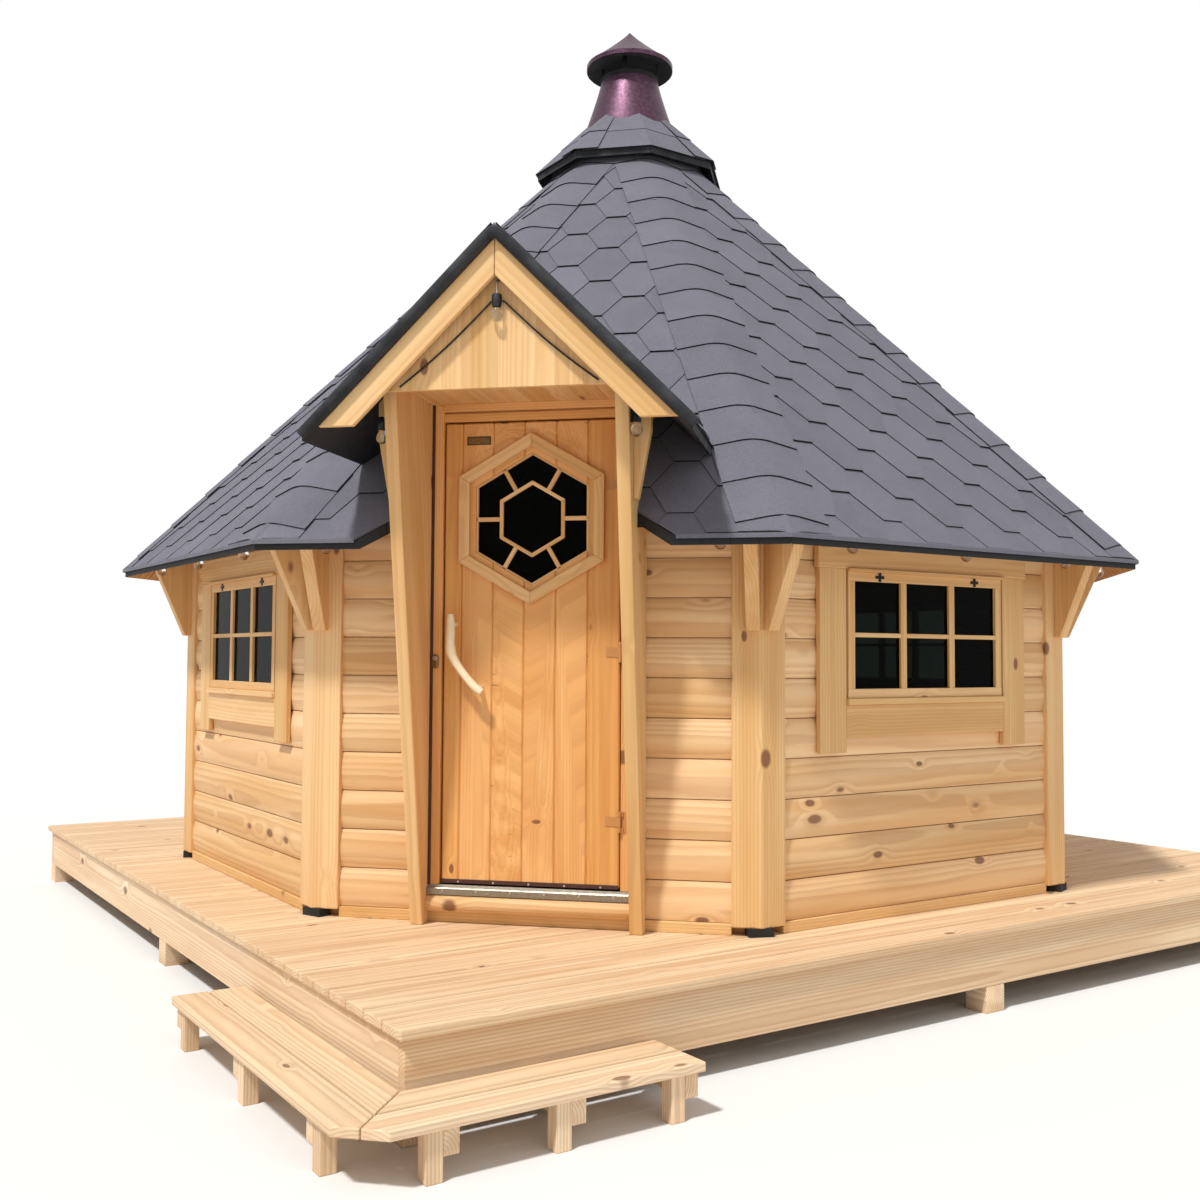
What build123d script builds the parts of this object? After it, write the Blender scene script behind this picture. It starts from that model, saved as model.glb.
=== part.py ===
from build123d import *
import os
from math import cos, pi, radians, sin, tan

os.makedirs("parts", exist_ok=True)

# Log cabin with eight walls on a square deck that is turned a half quarter to the door wall.
# Millimetres, Z up, origin on the ground under the cabin's middle, door wall towards -Y.

# Plan
wall_count = 8
side_length = 1700
deck_height = 310

# Log walls
log_thickness = 50
log_pitch = 145
log_count = 11
log_groove = 11
base_strip_height = 40
log_post_step = 12

# Corner posts and brackets
post_leg = 110
pad_height = 30
pad_width = 90
pad_depth = 56
bracket_thickness = 50
bracket_reach = 165
bracket_foot = 28
bracket_inset = 6
bracket_drop = 555
bracket_knee_drop = 245

# Main roof
roof_pitch = 47.3
roof_thickness = 26
plate_rise = 41
eave_overhang = 276
smoke_hole = 330
hip_gap = 1

# Roof cap
cap_pitch = 48
cap_eave = 457
cap_lift = 109
cap_hole = 150
collar_face = 385
collar_thickness = 25

# Chimney
cone_foot_radius = 243
cone_waist_radius = 166
cone_waist_rise = 220
cone_top_radius = 153
cone_rise = 293
cone_lip = 18
hat_radius = 231
hat_gap = 46
hat_rim = 25
hat_rise = 222
sheet_thickness = 4
stay_width = 24
stay_count = 4
seat_gap = 0.3

# Porch
porch_slope = 45
porch_rise = 485
porch_half_width = 667
porch_reach = 538
barge_setback = 15
barge_thickness = 22
barge_width = 88
barge_end_gap = 50
gable_setback = 70
gable_thickness = 18
gable_drop = 44
ceiling_thickness = 20
cheek_thickness = 47
cheek_foot = 58
cheek_head = 408
cheek_bracket_thickness = 45
cheek_bracket_knee = 180
cheek_bracket_drop = 420
cheek_bracket_foot = 16
cheek_bracket_reach = 60
cheek_bracket_place = 286
eave_corner_width = 130
eave_corner_depth = 78

# Door
leaf_width = 670
leaf_height = 1712
leaf_thickness = 40
leaf_gap = 6
leaf_setback = 5
jamb_width = 44
jamb_proud = 3
head_depth = 65
stop_width = 20
stop_thickness = 12
sill_height = 66
threshold_height = 34
threshold_overhang = 20
hex_radius = 320
hex_drop = 363
hex_trim_width = 48
hex_rebate = 24
hex_trim_proud = 20
glass_thickness = 6

# Door furniture
hinge_count = 3
hinge_inset = 244
hinge_radius = 8
hinge_standoff = 16
hinge_plate_width = 26
knuckle_height = 36
knuckle_gap = 1
knuckle_web = 12
strap_length = 52
strap_height = 34
strap_thickness = 3
handle_radius = 15
handle_standoff = 62
handle_inset = 36
handle_middle = 850
handle_length = 294
handle_bend = 136
plate_width = 92
plate_height = 32
plate_thickness = 2
plate_inset = 130
plate_drop = 67
lock_radius = 13
lock_thickness = 5
lock_rise = 819

# Windows
window_width = 870
window_height = 475
window_rise = 795
lining_thickness = 20
sash_rail = 35
sash_thickness = 32
sash_proud = 22
casing_gap = 10
casing_width = 135
casing_thickness = 22
casing_drop = 201
header_height = 110
header_overhang = 10
header_thickness = 26
sill_board = 24
sill_proud = 36
apron_height = 121
window_hinge_inset = 165
window_hinge_width = 44
window_hinge_height = 34
window_walls = (1, 3, 5, 7)

# String lights
cable_width = 7
socket_radius = 15
socket_height = 44
bulb_radius = 21
bulb_neck = 11
bulb_height = 50
light_place = 198
light_stations = (-600, 0, 600)
front_light_station = 720
gable_light_drop = 219
gable_light_gap = 16
cheek_light_place = 350
cheek_light_drop = 594

# Deck and step
deck_side = 4780
deck_thickness = 28
deck_nosing = 20
joist_thickness = 38
joist_depth = 184
joist_count = 7
foot_width = 98
tread_drop = 150
tread_board = 120
tread_gap = 5
tread_thickness = 28
tread_left_length = 1500
tread_right_length = 1070
tread_corner_cut = 110
bearer_thickness = 45
bearer_depth = 70
step_post_width = 48
step_setback = 16
step_first_post = 260
floor_thickness = 40
floor_gap = 2

# Walls in plan and height
turn = 360 / wall_count
half_turn = pi / wall_count
post_face = side_length / 2 / tan(half_turn)
log_face = post_face - log_post_step
inner_face = log_face - log_thickness
wall_half = side_length / 2 - post_leg
wall_foot = deck_height + base_strip_height
wall_top = wall_foot + log_pitch * log_count

# Roof planes
roof_slope = tan(radians(roof_pitch))
roof_drop = roof_thickness / cos(radians(roof_pitch))
roof_peak = wall_top + plate_rise + roof_drop + log_face * roof_slope
roof_eave = post_face + eave_overhang
cap_slope = tan(radians(cap_pitch))
cap_drop = roof_thickness / cos(radians(cap_pitch))
cap_peak = roof_peak - cap_eave * roof_slope + cap_lift + cap_eave * cap_slope

# Door and porch
door_opening = leaf_width / 2 + leaf_gap
frame_half = door_opening + jamb_width
cheek_face = frame_half + cheek_thickness
leaf_face = post_face - leaf_setback
jamb_face = post_face + jamb_proud
sill_top = wall_foot + sill_height
threshold_top = sill_top + threshold_height
leaf_bottom = threshold_top + leaf_gap
leaf_top = leaf_bottom + leaf_height
head_bottom = leaf_top + leaf_gap
frame_top = head_bottom + head_depth
ceiling_top = frame_top + ceiling_thickness
ceiling_back = (roof_peak - roof_drop - ceiling_top) / roof_slope
hex_height = leaf_top - hex_drop
hex_opening = hex_radius - hex_trim_width
hex_hole = hex_opening - hex_rebate
hinge_x = leaf_width / 2 + leaf_gap / 2
hinge_y = -(leaf_face + hinge_standoff)
porch_run = tan(radians(porch_slope))
porch_drop = roof_thickness / cos(radians(porch_slope))
porch_peak = frame_top + porch_rise
porch_front = post_face + porch_reach
gable_front = porch_front - gable_setback

# Windows
window_half = window_width / 2
window_bottom = wall_foot + window_rise
window_top = window_bottom + window_height
sash_front = log_face + sash_proud
casing_near = window_half + casing_gap
casing_far = casing_near + casing_width

# String lights
light_face = post_face + light_place
gable_light_top = porch_peak - gable_light_drop
cheek_light_x = cheek_face + bulb_radius
cheek_light_y = -post_face - cheek_light_place
cheek_light_top = porch_peak - cheek_light_drop
gable_light_y = -gable_front - bulb_radius

# Deck and step
deck_half = deck_side / 2
rim_face = deck_half - deck_nosing
joist_top = deck_height - deck_thickness
joist_bottom = joist_top - joist_depth
tread_top = deck_height - tread_drop
tread_bottom = tread_top - tread_thickness
tread_outer = deck_half + 2 * (tread_board + tread_gap)


def roof_top(distance):
    return roof_peak - distance * roof_slope


def roof_under(distance):
    return roof_top(distance) - roof_drop


def cap_top(distance):
    return cap_peak - distance * cap_slope


def cap_under(distance):
    return cap_top(distance) - cap_drop


def porch_top(distance):
    return porch_peak - distance * porch_run


def porch_under(distance):
    return porch_top(distance) - porch_drop


def block(x0, x1, y0, y1, z0, z1):
    return Pos((x0 + x1) / 2, (y0 + y1) / 2, (z0 + z1) / 2) * Box(x1 - x0, y1 - y0, z1 - z0)


def prism_x(points, x0, x1):
    # points are (y, z), and the solid runs along X
    face = Plane.YZ * make_face(Polyline(*points, close=True))
    return Pos(x0, 0, 0) * extrude(face, amount=x1 - x0)


def prism_y(points, y0, y1):
    # points are (x, z), and the solid runs along Y
    face = Plane.XZ * make_face(Polyline(*points, close=True))
    return Pos(0, y1, 0) * extrude(face, amount=y1 - y0)


def prism_z(points, z0, z1):
    # points are (x, y), and the solid runs up
    return Pos(0, 0, z0) * extrude(make_face(Polyline(*points, close=True)), amount=z1 - z0)


def wedge(near, far, gap):
    # the plan of one side of the octagon between two distances from the middle
    near_half = near * tan(half_turn) - gap
    far_half = far * tan(half_turn) - gap
    points = [(-near_half, -near), (near_half, -near), (far_half, -far), (-far_half, -far)]
    return prism_z(points, 0, 2 * roof_peak)


def on_walls(piece, walls=range(wall_count)):
    return [Rot(0, 0, turn * wall) * piece for wall in walls]


def mirrored(piece):
    return mirror(piece, Plane.YZ)


def save(name, solids):
    pieces = solids if isinstance(solids, list) else [solids]
    found = [solid for piece in pieces for solid in piece.solids()]
    export_step(Compound(children=found), f"parts/{name}.step")


# Log walls
def log_profile():
    # the section of stacked half-round logs: flat inside, one arc for each log outside
    edges = []
    for row in range(log_count):
        low = wall_foot + row * log_pitch
        high = low + log_pitch
        start = (-(log_face - log_groove), low)
        crest = (-log_face, (low + high) / 2)
        finish = (-(log_face - log_groove), high)
        edges.append(ThreePointArc(start, crest, finish))
    back = [(-(log_face - log_groove), wall_top), (-inner_face, wall_top), (-inner_face, wall_foot),
            (-(log_face - log_groove), wall_foot)]
    edges.append(Polyline(*back))
    return make_face(edges)


def log_wall(x0, x1):
    return Pos(x0, 0, 0) * extrude(Plane.YZ * log_profile(), amount=x1 - x0)


def window_opening():
    edge = window_half + lining_thickness
    return block(-edge, edge, -post_face, 0, window_bottom - lining_thickness, window_top + lining_thickness)


def base_strip():
    return block(-wall_half, wall_half, -log_face, -inner_face, deck_height, wall_foot)


def corner_post():
    # two legs that wrap the corner between the door wall and the wall to its right
    def around(x, y):
        angle = radians(turn)
        return (x * cos(angle) - y * sin(angle), x * sin(angle) + y * cos(angle))

    outer_x = side_length / 2
    points = [(wall_half, -post_face), (outer_x, -post_face), around(-wall_half, -post_face),
              around(-wall_half, -inner_face), (inner_face * tan(half_turn), -inner_face),
              (wall_half, -inner_face)]
    return prism_z(points, deck_height + pad_height, wall_top)


def post_pad():
    middle = (post_face + inner_face) / 2 / cos(half_turn)
    pad = block(-pad_width / 2, pad_width / 2, -middle - pad_depth / 2, -middle + pad_depth / 2,
                deck_height, deck_height + pad_height)
    return Rot(0, 0, turn / 2) * pad


def eave_bracket():
    edge = side_length / 2 - bracket_inset
    tip = post_face + bracket_reach
    foot = wall_top - bracket_drop
    points = [(-post_face, foot), (-post_face - bracket_foot, foot), (-tip, wall_top - bracket_knee_drop),
              (-tip, roof_under(tip)), (-post_face, roof_under(post_face))]
    return prism_x(points, edge - bracket_thickness, edge)


def wall_plate():
    points = [(-log_face, wall_top), (-inner_face, wall_top), (-inner_face, roof_under(inner_face)),
              (-log_face, roof_under(log_face))]
    return prism_x(points, -side_length, side_length) & wedge(inner_face - 1, log_face + 1, hip_gap)


# Main roof
def roof_panel():
    points = [(-smoke_hole, roof_top(smoke_hole)), (-roof_eave, roof_top(roof_eave)),
              (-roof_eave, roof_under(roof_eave)), (-smoke_hole, roof_under(smoke_hole))]
    return prism_x(points, -roof_eave, roof_eave) & wedge(smoke_hole, roof_eave, hip_gap)


def porch_notch():
    # the way through the front panel for the taller door, with its two eave corners cut back
    far = roof_eave + 1
    points = [(-cheek_face, -ceiling_back), (cheek_face, -ceiling_back), (cheek_face, -far + eave_corner_depth),
              (cheek_face + eave_corner_width, -far), (-cheek_face - eave_corner_width, -far),
              (-cheek_face, -far + eave_corner_depth)]
    return prism_z(points, 0, roof_peak)


# Roof cap and chimney
def cap_panel():
    points = [(-cap_hole, cap_top(cap_hole)), (-cap_eave, cap_top(cap_eave)),
              (-cap_eave, cap_under(cap_eave)), (-cap_hole, cap_under(cap_hole))]
    return prism_x(points, -cap_eave, cap_eave) & wedge(cap_hole, cap_eave, hip_gap)


def cap_collar():
    inner = collar_face - collar_thickness
    points = [(-collar_face, roof_top(collar_face)), (-inner, roof_top(inner)), (-inner, cap_under(inner)),
              (-collar_face, cap_under(collar_face))]
    return prism_x(points, -collar_face, collar_face) & wedge(inner - 1, collar_face + 1, hip_gap)


def cap_pyramid():
    block_size = 2 * cap_eave
    solid = block(-cap_eave, cap_eave, -cap_eave, cap_eave, cap_top(cap_eave), cap_peak)
    above = [(0, cap_peak), (-block_size, cap_top(block_size)), (-block_size, cap_peak + 1), (0, cap_peak + 1)]
    for side in on_walls(prism_x(above, -block_size, block_size)):
        solid -= side
    return solid


def chimney_cone():
    # the foot is drawn lower than the cap's hips and then cut to the cap's sloping sides
    low = cap_top(cone_foot_radius)
    waist = low + cone_waist_rise
    high = low + cone_rise
    foot_inner = cone_foot_radius - sheet_thickness
    waist_inner = cone_waist_radius - sheet_thickness
    top_inner = cone_top_radius - sheet_thickness
    outline = [(foot_inner, low), (cone_foot_radius, low), (cone_waist_radius, waist), (cone_top_radius, high),
               (cone_top_radius, high + cone_lip), (top_inner, high + cone_lip), (top_inner, high),
               (waist_inner, waist)]
    shell = revolve(Plane.XZ * make_face(Polyline(*outline, close=True)), Axis.Z)
    return shell - cap_pyramid()


def hat_brim():
    return cap_top(cone_foot_radius) + cone_rise + cone_lip + hat_gap


def chimney_hat():
    low = hat_brim()
    inner = hat_radius - sheet_thickness
    outline = [(0, low + hat_rise - 2 * sheet_thickness), (inner, low + hat_rim - sheet_thickness), (inner, low),
               (hat_radius, low), (hat_radius, low + hat_rim), (0, low + hat_rise)]
    return revolve(Plane.XZ * make_face(Polyline(*outline, close=True)), Axis.Z)


def hat_stay():
    # a flat strip inside the cone's lip that reaches the underside of the hat
    outer = cone_top_radius - sheet_thickness
    inner = outer - sheet_thickness
    slant = (hat_rise - hat_rim - sheet_thickness) / (hat_radius - sheet_thickness)
    rise = hat_rise - 2 * sheet_thickness - outer * slant
    low = cap_top(cone_foot_radius) + cone_rise
    return block(-stay_width / 2, stay_width / 2, -outer + 2 * seat_gap, -inner + 2 * seat_gap, low,
                 hat_brim() + rise - seat_gap)


# Porch
def below_main_roof():
    far = 2 * porch_front
    points = [(-far, roof_top(far)), (0, roof_top(0)), (0, -roof_peak), (-far, -roof_peak)]
    return prism_x(points, -porch_front, porch_front)


def above_porch_lining():
    far = 2 * porch_half_width
    high = 2 * porch_peak
    points = [(0, porch_under(0)), (far, porch_under(far)), (far, high), (-far, high), (-far, porch_under(far))]
    return prism_y(points, -2 * porch_front, 0)


def porch_slab():
    points = [(hip_gap, porch_top(hip_gap)), (porch_half_width, porch_top(porch_half_width)),
              (porch_half_width, porch_under(porch_half_width)), (hip_gap, porch_under(hip_gap))]
    return prism_y(points, -porch_front, 0) - below_main_roof()


def barge_board():
    depth = barge_width / cos(radians(porch_slope))
    end = porch_half_width - barge_end_gap
    points = [(hip_gap, porch_under(hip_gap)), (end, porch_under(end)), (end - depth, porch_under(end)),
              (hip_gap, porch_under(hip_gap) - depth)]
    front = porch_front - barge_setback
    return prism_y(points, -front, -front + barge_thickness)


def porch_gable():
    low = frame_top - gable_drop
    half = (porch_under(0) - low) / porch_run
    return prism_y([(-half, low), (half, low), (0, porch_under(0))], -gable_front, -gable_front + gable_thickness)


def porch_ceiling():
    return block(-frame_half, frame_half, -gable_front + gable_thickness, -ceiling_back, frame_top, ceiling_top)


def porch_cheek():
    head = post_face + cheek_head
    points = [(-post_face - cheek_foot, deck_height), (-log_face, deck_height), (-log_face, wall_top),
              (-inner_face, wall_top), (-inner_face, roof_under(inner_face)), (-ceiling_back, ceiling_top),
              (-ceiling_back, porch_peak), (-head, porch_peak), (-head, frame_top)]
    return prism_x(points, frame_half, cheek_face) - above_porch_lining()


def cheek_bracket():
    top = porch_under(cheek_face)
    tip = cheek_face + cheek_bracket_reach
    foot = top - cheek_bracket_drop
    points = [(cheek_face, foot), (cheek_face + cheek_bracket_foot, foot), (tip, top - cheek_bracket_knee),
              (tip, porch_under(tip)), (cheek_face, top)]
    front = post_face + cheek_bracket_place
    return prism_y(points, -front, -front + cheek_bracket_thickness)


# Door frame
def door_jamb():
    return block(door_opening, frame_half, -jamb_face, -inner_face, threshold_top, frame_top)


def door_head():
    return block(-door_opening, door_opening, -jamb_face, -inner_face, head_bottom, frame_top)


def door_stop():
    return block(door_opening - stop_width, door_opening, -inner_face - stop_thickness, -inner_face,
                 threshold_top, head_bottom)


def door_stop_head():
    inner = door_opening - stop_width
    return block(-inner, inner, -inner_face - stop_thickness, -inner_face, head_bottom - stop_width, head_bottom)


def door_threshold():
    front = post_face + threshold_overhang
    return block(-frame_half, frame_half, -front, -inner_face, sill_top, threshold_top)


def door_sill():
    # a half-round log under the threshold
    low = wall_foot
    high = sill_top
    front = post_face + (high - low) / 2
    arc = ThreePointArc((-post_face, low), (-front, (low + high) / 2), (-post_face, high))
    rest = Polyline((-post_face, high), (-inner_face, high), (-inner_face, low), (-post_face, low))
    face = Plane.YZ * make_face([arc, rest])
    return Pos(-frame_half, 0, 0) * extrude(face, amount=2 * frame_half)


# Door leaf
def hexagon(radius, y0, y1):
    points = [(radius * sin(pi / 3 * corner), hex_height + radius * cos(pi / 3 * corner)) for corner in range(6)]
    return prism_y(points, y0, y1)


def door_leaf():
    half = leaf_width / 2
    leaf = block(-half, half, -leaf_face, -leaf_face + leaf_thickness, leaf_bottom, leaf_top)
    return leaf - hexagon(hex_hole, -post_face, -leaf_face + leaf_thickness + 1)


def door_window_trim():
    outside = hexagon(hex_radius, -leaf_face - hex_trim_proud, -leaf_face)
    return outside - hexagon(hex_opening, -leaf_face - hex_trim_proud - 1, -leaf_face + 1)


def door_glass():
    middle = -leaf_face + leaf_thickness / 2
    return hexagon(hex_hole, middle - glass_thickness / 2, middle + glass_thickness / 2)


def door_handle():
    # a bent branch that springs from the leaf, runs down and bends in towards the middle
    face = -leaf_face
    out = face - handle_standoff
    near = (face + out) / 2
    edge = -leaf_width / 2 + handle_inset
    high = leaf_bottom + handle_middle + handle_length / 2
    route = [(0, face, 0), (-0.04, near, 0.04), (-0.08, out, 0.2), (-0.03, out, 0.42), (0.25, out, 0.65),
             (0.63, out, 0.84), (0.9, near, 0.96), (1, face, 1)]
    path = Spline(*[(edge + handle_bend * across, y, high - handle_length * down) for across, y, down in route])
    section = Plane(origin=path @ 0, z_dir=path % 0) * Circle(handle_radius)
    branch = sweep(section, path=path)
    behind = block(-leaf_width, leaf_width, face, 0, leaf_bottom, leaf_top)
    return branch - behind


def door_plate():
    middle_x = -leaf_width / 2 + plate_inset
    middle_z = leaf_top - plate_drop
    return block(middle_x - plate_width / 2, middle_x + plate_width / 2, -leaf_face - plate_thickness, -leaf_face,
                 middle_z - plate_height / 2, middle_z + plate_height / 2)


def hinge_heights():
    low = leaf_bottom + hinge_inset
    spacing = (leaf_height - 2 * hinge_inset) / (hinge_count - 1)
    return [low + spacing * number for number in range(hinge_count)]


def knuckle(low, high):
    return Pos(hinge_x, hinge_y, (low + high) / 2) * Cylinder(hinge_radius, high - low)


def leaf_hinge(height):
    half = knuckle_height / 2
    web = block(hinge_x - knuckle_web, hinge_x - hinge_radius / 2, hinge_y, -leaf_face, height - half, height + half)
    strap = block(leaf_width / 2 - strap_length, leaf_width / 2 - 1, -leaf_face - strap_thickness, -leaf_face,
                  height - strap_height / 2, height + strap_height / 2)
    return knuckle(height - half, height + half) + web + strap


def frame_hinge(height):
    near = knuckle_height / 2 + knuckle_gap
    far = near + knuckle_height / 2
    plate_edge = hinge_x + hinge_radius + 2 * knuckle_gap
    hinge = block(plate_edge, plate_edge + hinge_plate_width, -jamb_face - strap_thickness, -jamb_face,
                  height - far, height + far)
    for low, high in ((near, far), (-far, -near)):
        web = block(hinge_x + hinge_radius / 2, plate_edge + hinge_radius / 2, hinge_y, -jamb_face,
                    height + low, height + high)
        hinge += knuckle(height + low, height + high) + web
    return hinge


def door_lock():
    middle = (door_opening + frame_half) / 2
    disc = Plane.XZ * Circle(lock_radius)
    return Pos(-middle, -jamb_face, leaf_bottom + lock_rise) * extrude(disc, amount=lock_thickness)


# Windows
def window_lining():
    outer = window_half + lining_thickness
    ring = block(-outer, outer, -log_face, -inner_face, window_bottom - lining_thickness,
                 window_top + lining_thickness)
    return ring - block(-window_half, window_half, -post_face, 0, window_bottom, window_top)


def window_sash():
    inner = window_half - sash_rail
    ring = block(-window_half, window_half, -sash_front, -sash_front + sash_thickness, window_bottom, window_top)
    return ring - block(-inner, inner, -2 * sash_front, 0, window_bottom + sash_rail, window_top - sash_rail)


def window_glass():
    half = window_half - sash_rail
    middle = -sash_front + sash_thickness / 2
    return block(-half, half, middle - glass_thickness / 2, middle + glass_thickness / 2,
                 window_bottom + sash_rail, window_top - sash_rail)


def window_boards():
    # two side casings, the header over them, the sill board and the apron under it
    header_bottom = window_top + casing_gap
    apron_top = window_bottom - sill_board
    side = block(casing_near, casing_far, -log_face - casing_thickness, -log_face, window_bottom - casing_drop,
                 header_bottom)
    header = block(-casing_far - header_overhang, casing_far + header_overhang, -log_face - header_thickness,
                   -log_face, header_bottom, header_bottom + header_height)
    sill = block(-casing_near, casing_near, -log_face - sill_proud, -log_face, apron_top, window_bottom)
    apron = block(-casing_near, casing_near, -log_face - casing_thickness, -log_face, apron_top - apron_height,
                  apron_top)
    return [side, mirrored(side), header, sill, apron]


def window_hinges():
    middle = window_half - window_hinge_inset
    half = window_hinge_width / 2
    hinge = block(middle - half, middle + half, -sash_front - strap_thickness, -sash_front,
                  window_top - window_hinge_height, window_top)
    return [hinge, mirrored(hinge)]


# String lights
def light_socket(x, y, top):
    return Pos(x, y, top - socket_height / 2) * Cylinder(socket_radius, socket_height)


def light_bulb(x, y, top):
    # a clear drop: a round end and sides that draw in to the neck
    belly = bulb_radius - bulb_height
    edges = [ThreePointArc((0, -bulb_height), (bulb_radius * sin(pi / 4), belly - bulb_radius * cos(pi / 4)),
                           (bulb_radius, belly)),
             Spline((bulb_radius, belly), (bulb_neck, 0), tangents=((0, 1), (0, 1))),
             Polyline((bulb_neck, 0), (0, 0), (0, -bulb_height))]
    return Pos(x, y, top) * revolve(Plane.XZ * make_face(edges), Axis.Z)


def below_eave():
    far = light_face + socket_height
    return prism_x([(-far, roof_under(far)), (0, roof_under(0)), (0, 0), (-far, 0)], -far, far)


def eave_cable():
    far = light_face + cable_width
    points = [(-light_face, roof_under(light_face)), (-far, roof_under(far)), (-far, roof_under(far) - cable_width),
              (-light_face, roof_under(light_face) - cable_width)]
    return prism_x(points, -far, far) & wedge(light_face - 1, far + 1, hip_gap)


def eave_light_top():
    return roof_under(light_face)


def eave_string(stations):
    string = eave_cable()
    for station in stations:
        string += light_socket(station, -light_face, eave_light_top()) & below_eave()
    return string


def gable_string():
    # the cable runs down both slopes of the gable from the socket at its middle
    middle = gable_light_top - socket_height / 2
    depth = cable_width / cos(radians(porch_slope))
    run = (middle - frame_top + gable_drop) / porch_run - gable_light_gap
    low = middle - run * porch_run
    line = prism_y([(0, middle), (run, low), (run, low - depth), (0, middle - depth)], -gable_front - cable_width,
                   -gable_front)
    return line + mirrored(line) + light_socket(0, gable_light_y, gable_light_top)


def cheek_string():
    # the cable comes down the outside of the cheek to its socket
    far = cheek_face + cable_width
    line = block(cheek_face, far, cheek_light_y - cable_width / 2, cheek_light_y + cable_width / 2,
                 cheek_light_top - socket_height, porch_under(far))
    return line + light_socket(cheek_light_x, cheek_light_y, cheek_light_top)


# Deck and step, drawn square and then turned a half quarter
def turned(piece):
    return Rot(0, 0, turn) * piece


def crossed(piece):
    # the same piece on the other side of the step's corner
    return mirrored(turned(piece))


def deck_slab():
    return turned(block(-deck_half, deck_half, -deck_half, deck_half, joist_top, deck_height))


def rim_boards():
    # two long boards, and two between them
    inner = rim_face - joist_thickness
    front = block(-rim_face, rim_face, -rim_face, -inner, joist_bottom, joist_top)
    left = block(-rim_face, -inner, -inner, inner, joist_bottom, joist_top)
    long_pair = [turned(front), Rot(0, 0, 180) * turned(front)]
    short_pair = [turned(left), Rot(0, 0, 180) * turned(left)]
    return long_pair, short_pair


def deck_joists():
    inner = rim_face - joist_thickness
    spacing = 2 * inner / (joist_count + 1)
    joists = []
    for number in range(joist_count):
        middle = -inner + spacing * (number + 1)
        joist = block(middle - joist_thickness / 2, middle + joist_thickness / 2, -inner, inner, joist_bottom,
                      joist_top)
        joists.append(turned(joist))
    return joists


def deck_feet():
    far = rim_face - foot_width / 2
    foot = block(-foot_width / 2, foot_width / 2, -foot_width / 2, foot_width / 2, 0, joist_bottom)
    return [turned(Pos(x, y, 0) * foot) for x in (-far, 0, far) for y in (-far, 0, far)]


def step_treads():
    # two boards along each of the two front edges, mitred where they meet at the corner
    corner = [(-tread_outer - 1, -tread_outer - 1), (-tread_outer + tread_corner_cut, -tread_outer - 1),
              (-tread_outer - 1, -tread_outer + tread_corner_cut)]
    nose = prism_z(corner, 0, deck_height)
    boards = []
    for row in range(2):
        outer = tread_outer - row * (tread_board + tread_gap)
        inner = outer - tread_board
        for length, place in ((tread_right_length, turned), (tread_left_length, crossed)):
            end = length - tread_outer
            points = [(-outer + tread_gap / 2, -outer), (end, -outer), (end, -inner), (-inner + tread_gap / 2, -inner)]
            boards.append(place(prism_z(points, tread_bottom, tread_top) - nose))
    return boards


def step_bearers():
    # short bearers across the boards, under both legs of the step
    bearers = []
    for length, place in ((tread_right_length, turned), (tread_left_length, crossed)):
        for along in step_stations(length):
            bearer = block(along, along + bearer_thickness, -tread_outer + step_setback, -rim_face,
                           tread_bottom - bearer_depth, tread_bottom)
            bearers.append(place(bearer))
    return bearers


def step_posts():
    far = tread_outer - step_setback
    posts = []
    for length, place in ((tread_right_length, turned), (tread_left_length, crossed)):
        for along in step_stations(length):
            post = block(along - step_post_width, along, -far, -far + step_post_width, 0, tread_bottom)
            posts.append(place(post))
    return posts


def step_stations(length):
    start = step_first_post - tread_outer
    end = length - tread_outer - bearer_thickness - step_setback
    return [start, (start + end) / 2, end]


def cabin_floor():
    reach = (inner_face - floor_gap) / cos(half_turn)
    corners = [half_turn * (2 * corner + 1) for corner in range(wall_count)]
    points = [(reach * sin(corner), -reach * cos(corner)) for corner in corners]
    return prism_z(points, deck_height, deck_height + floor_thickness)


# Walls
plain_wall = log_wall(-wall_half, wall_half)
window_wall = plain_wall - window_opening()
save("door_wall_right", log_wall(frame_half, wall_half))
save("door_wall_left", log_wall(-wall_half, -frame_half))
wall_names = {2: "right_wall", 4: "back_wall", 6: "left_wall"}
window_wall_names = {1: "front_right_wall", 3: "back_right_wall", 5: "back_left_wall", 7: "front_left_wall"}
for wall, name in wall_names.items():
    save(name, on_walls(plain_wall, [wall]))
for wall, name in window_wall_names.items():
    save(name, on_walls(window_wall, [wall]))
save("base_strips", on_walls(base_strip()))
save("corner_posts", on_walls(corner_post()))
save("post_pads", on_walls(post_pad()))
bracket = eave_bracket()
save("eave_brackets", on_walls(bracket) + on_walls(mirrored(bracket)))
plate = wall_plate()
plate_middle = block(-cheek_face, cheek_face, -post_face, -inner_face + 1, wall_top - 1, roof_peak)
save("wall_plates", on_walls(plate, range(1, wall_count)) + [plate - plate_middle])

# Roof
panel = roof_panel()
save("front_roof_panel", panel - porch_notch())
save("roof_panels", on_walls(panel, range(1, wall_count)))
save("cap_collar", on_walls(cap_collar()))
save("cap_panels", on_walls(cap_panel()))
save("chimney_cone", chimney_cone())
save("chimney_hat", chimney_hat())
save("hat_stays", [Rot(0, 0, 360 / stay_count * number) * hat_stay() for number in range(stay_count)])

# Porch
slab = porch_slab()
board = barge_board()
cheek = porch_cheek()
side_bracket = cheek_bracket()
save("porch_roof", [slab, mirrored(slab)])
save("barge_boards", [board, mirrored(board)])
save("porch_gable", porch_gable())
save("porch_ceiling", porch_ceiling())
save("porch_cheeks", [cheek, mirrored(cheek)])
save("cheek_brackets", [side_bracket, mirrored(side_bracket)])

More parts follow.
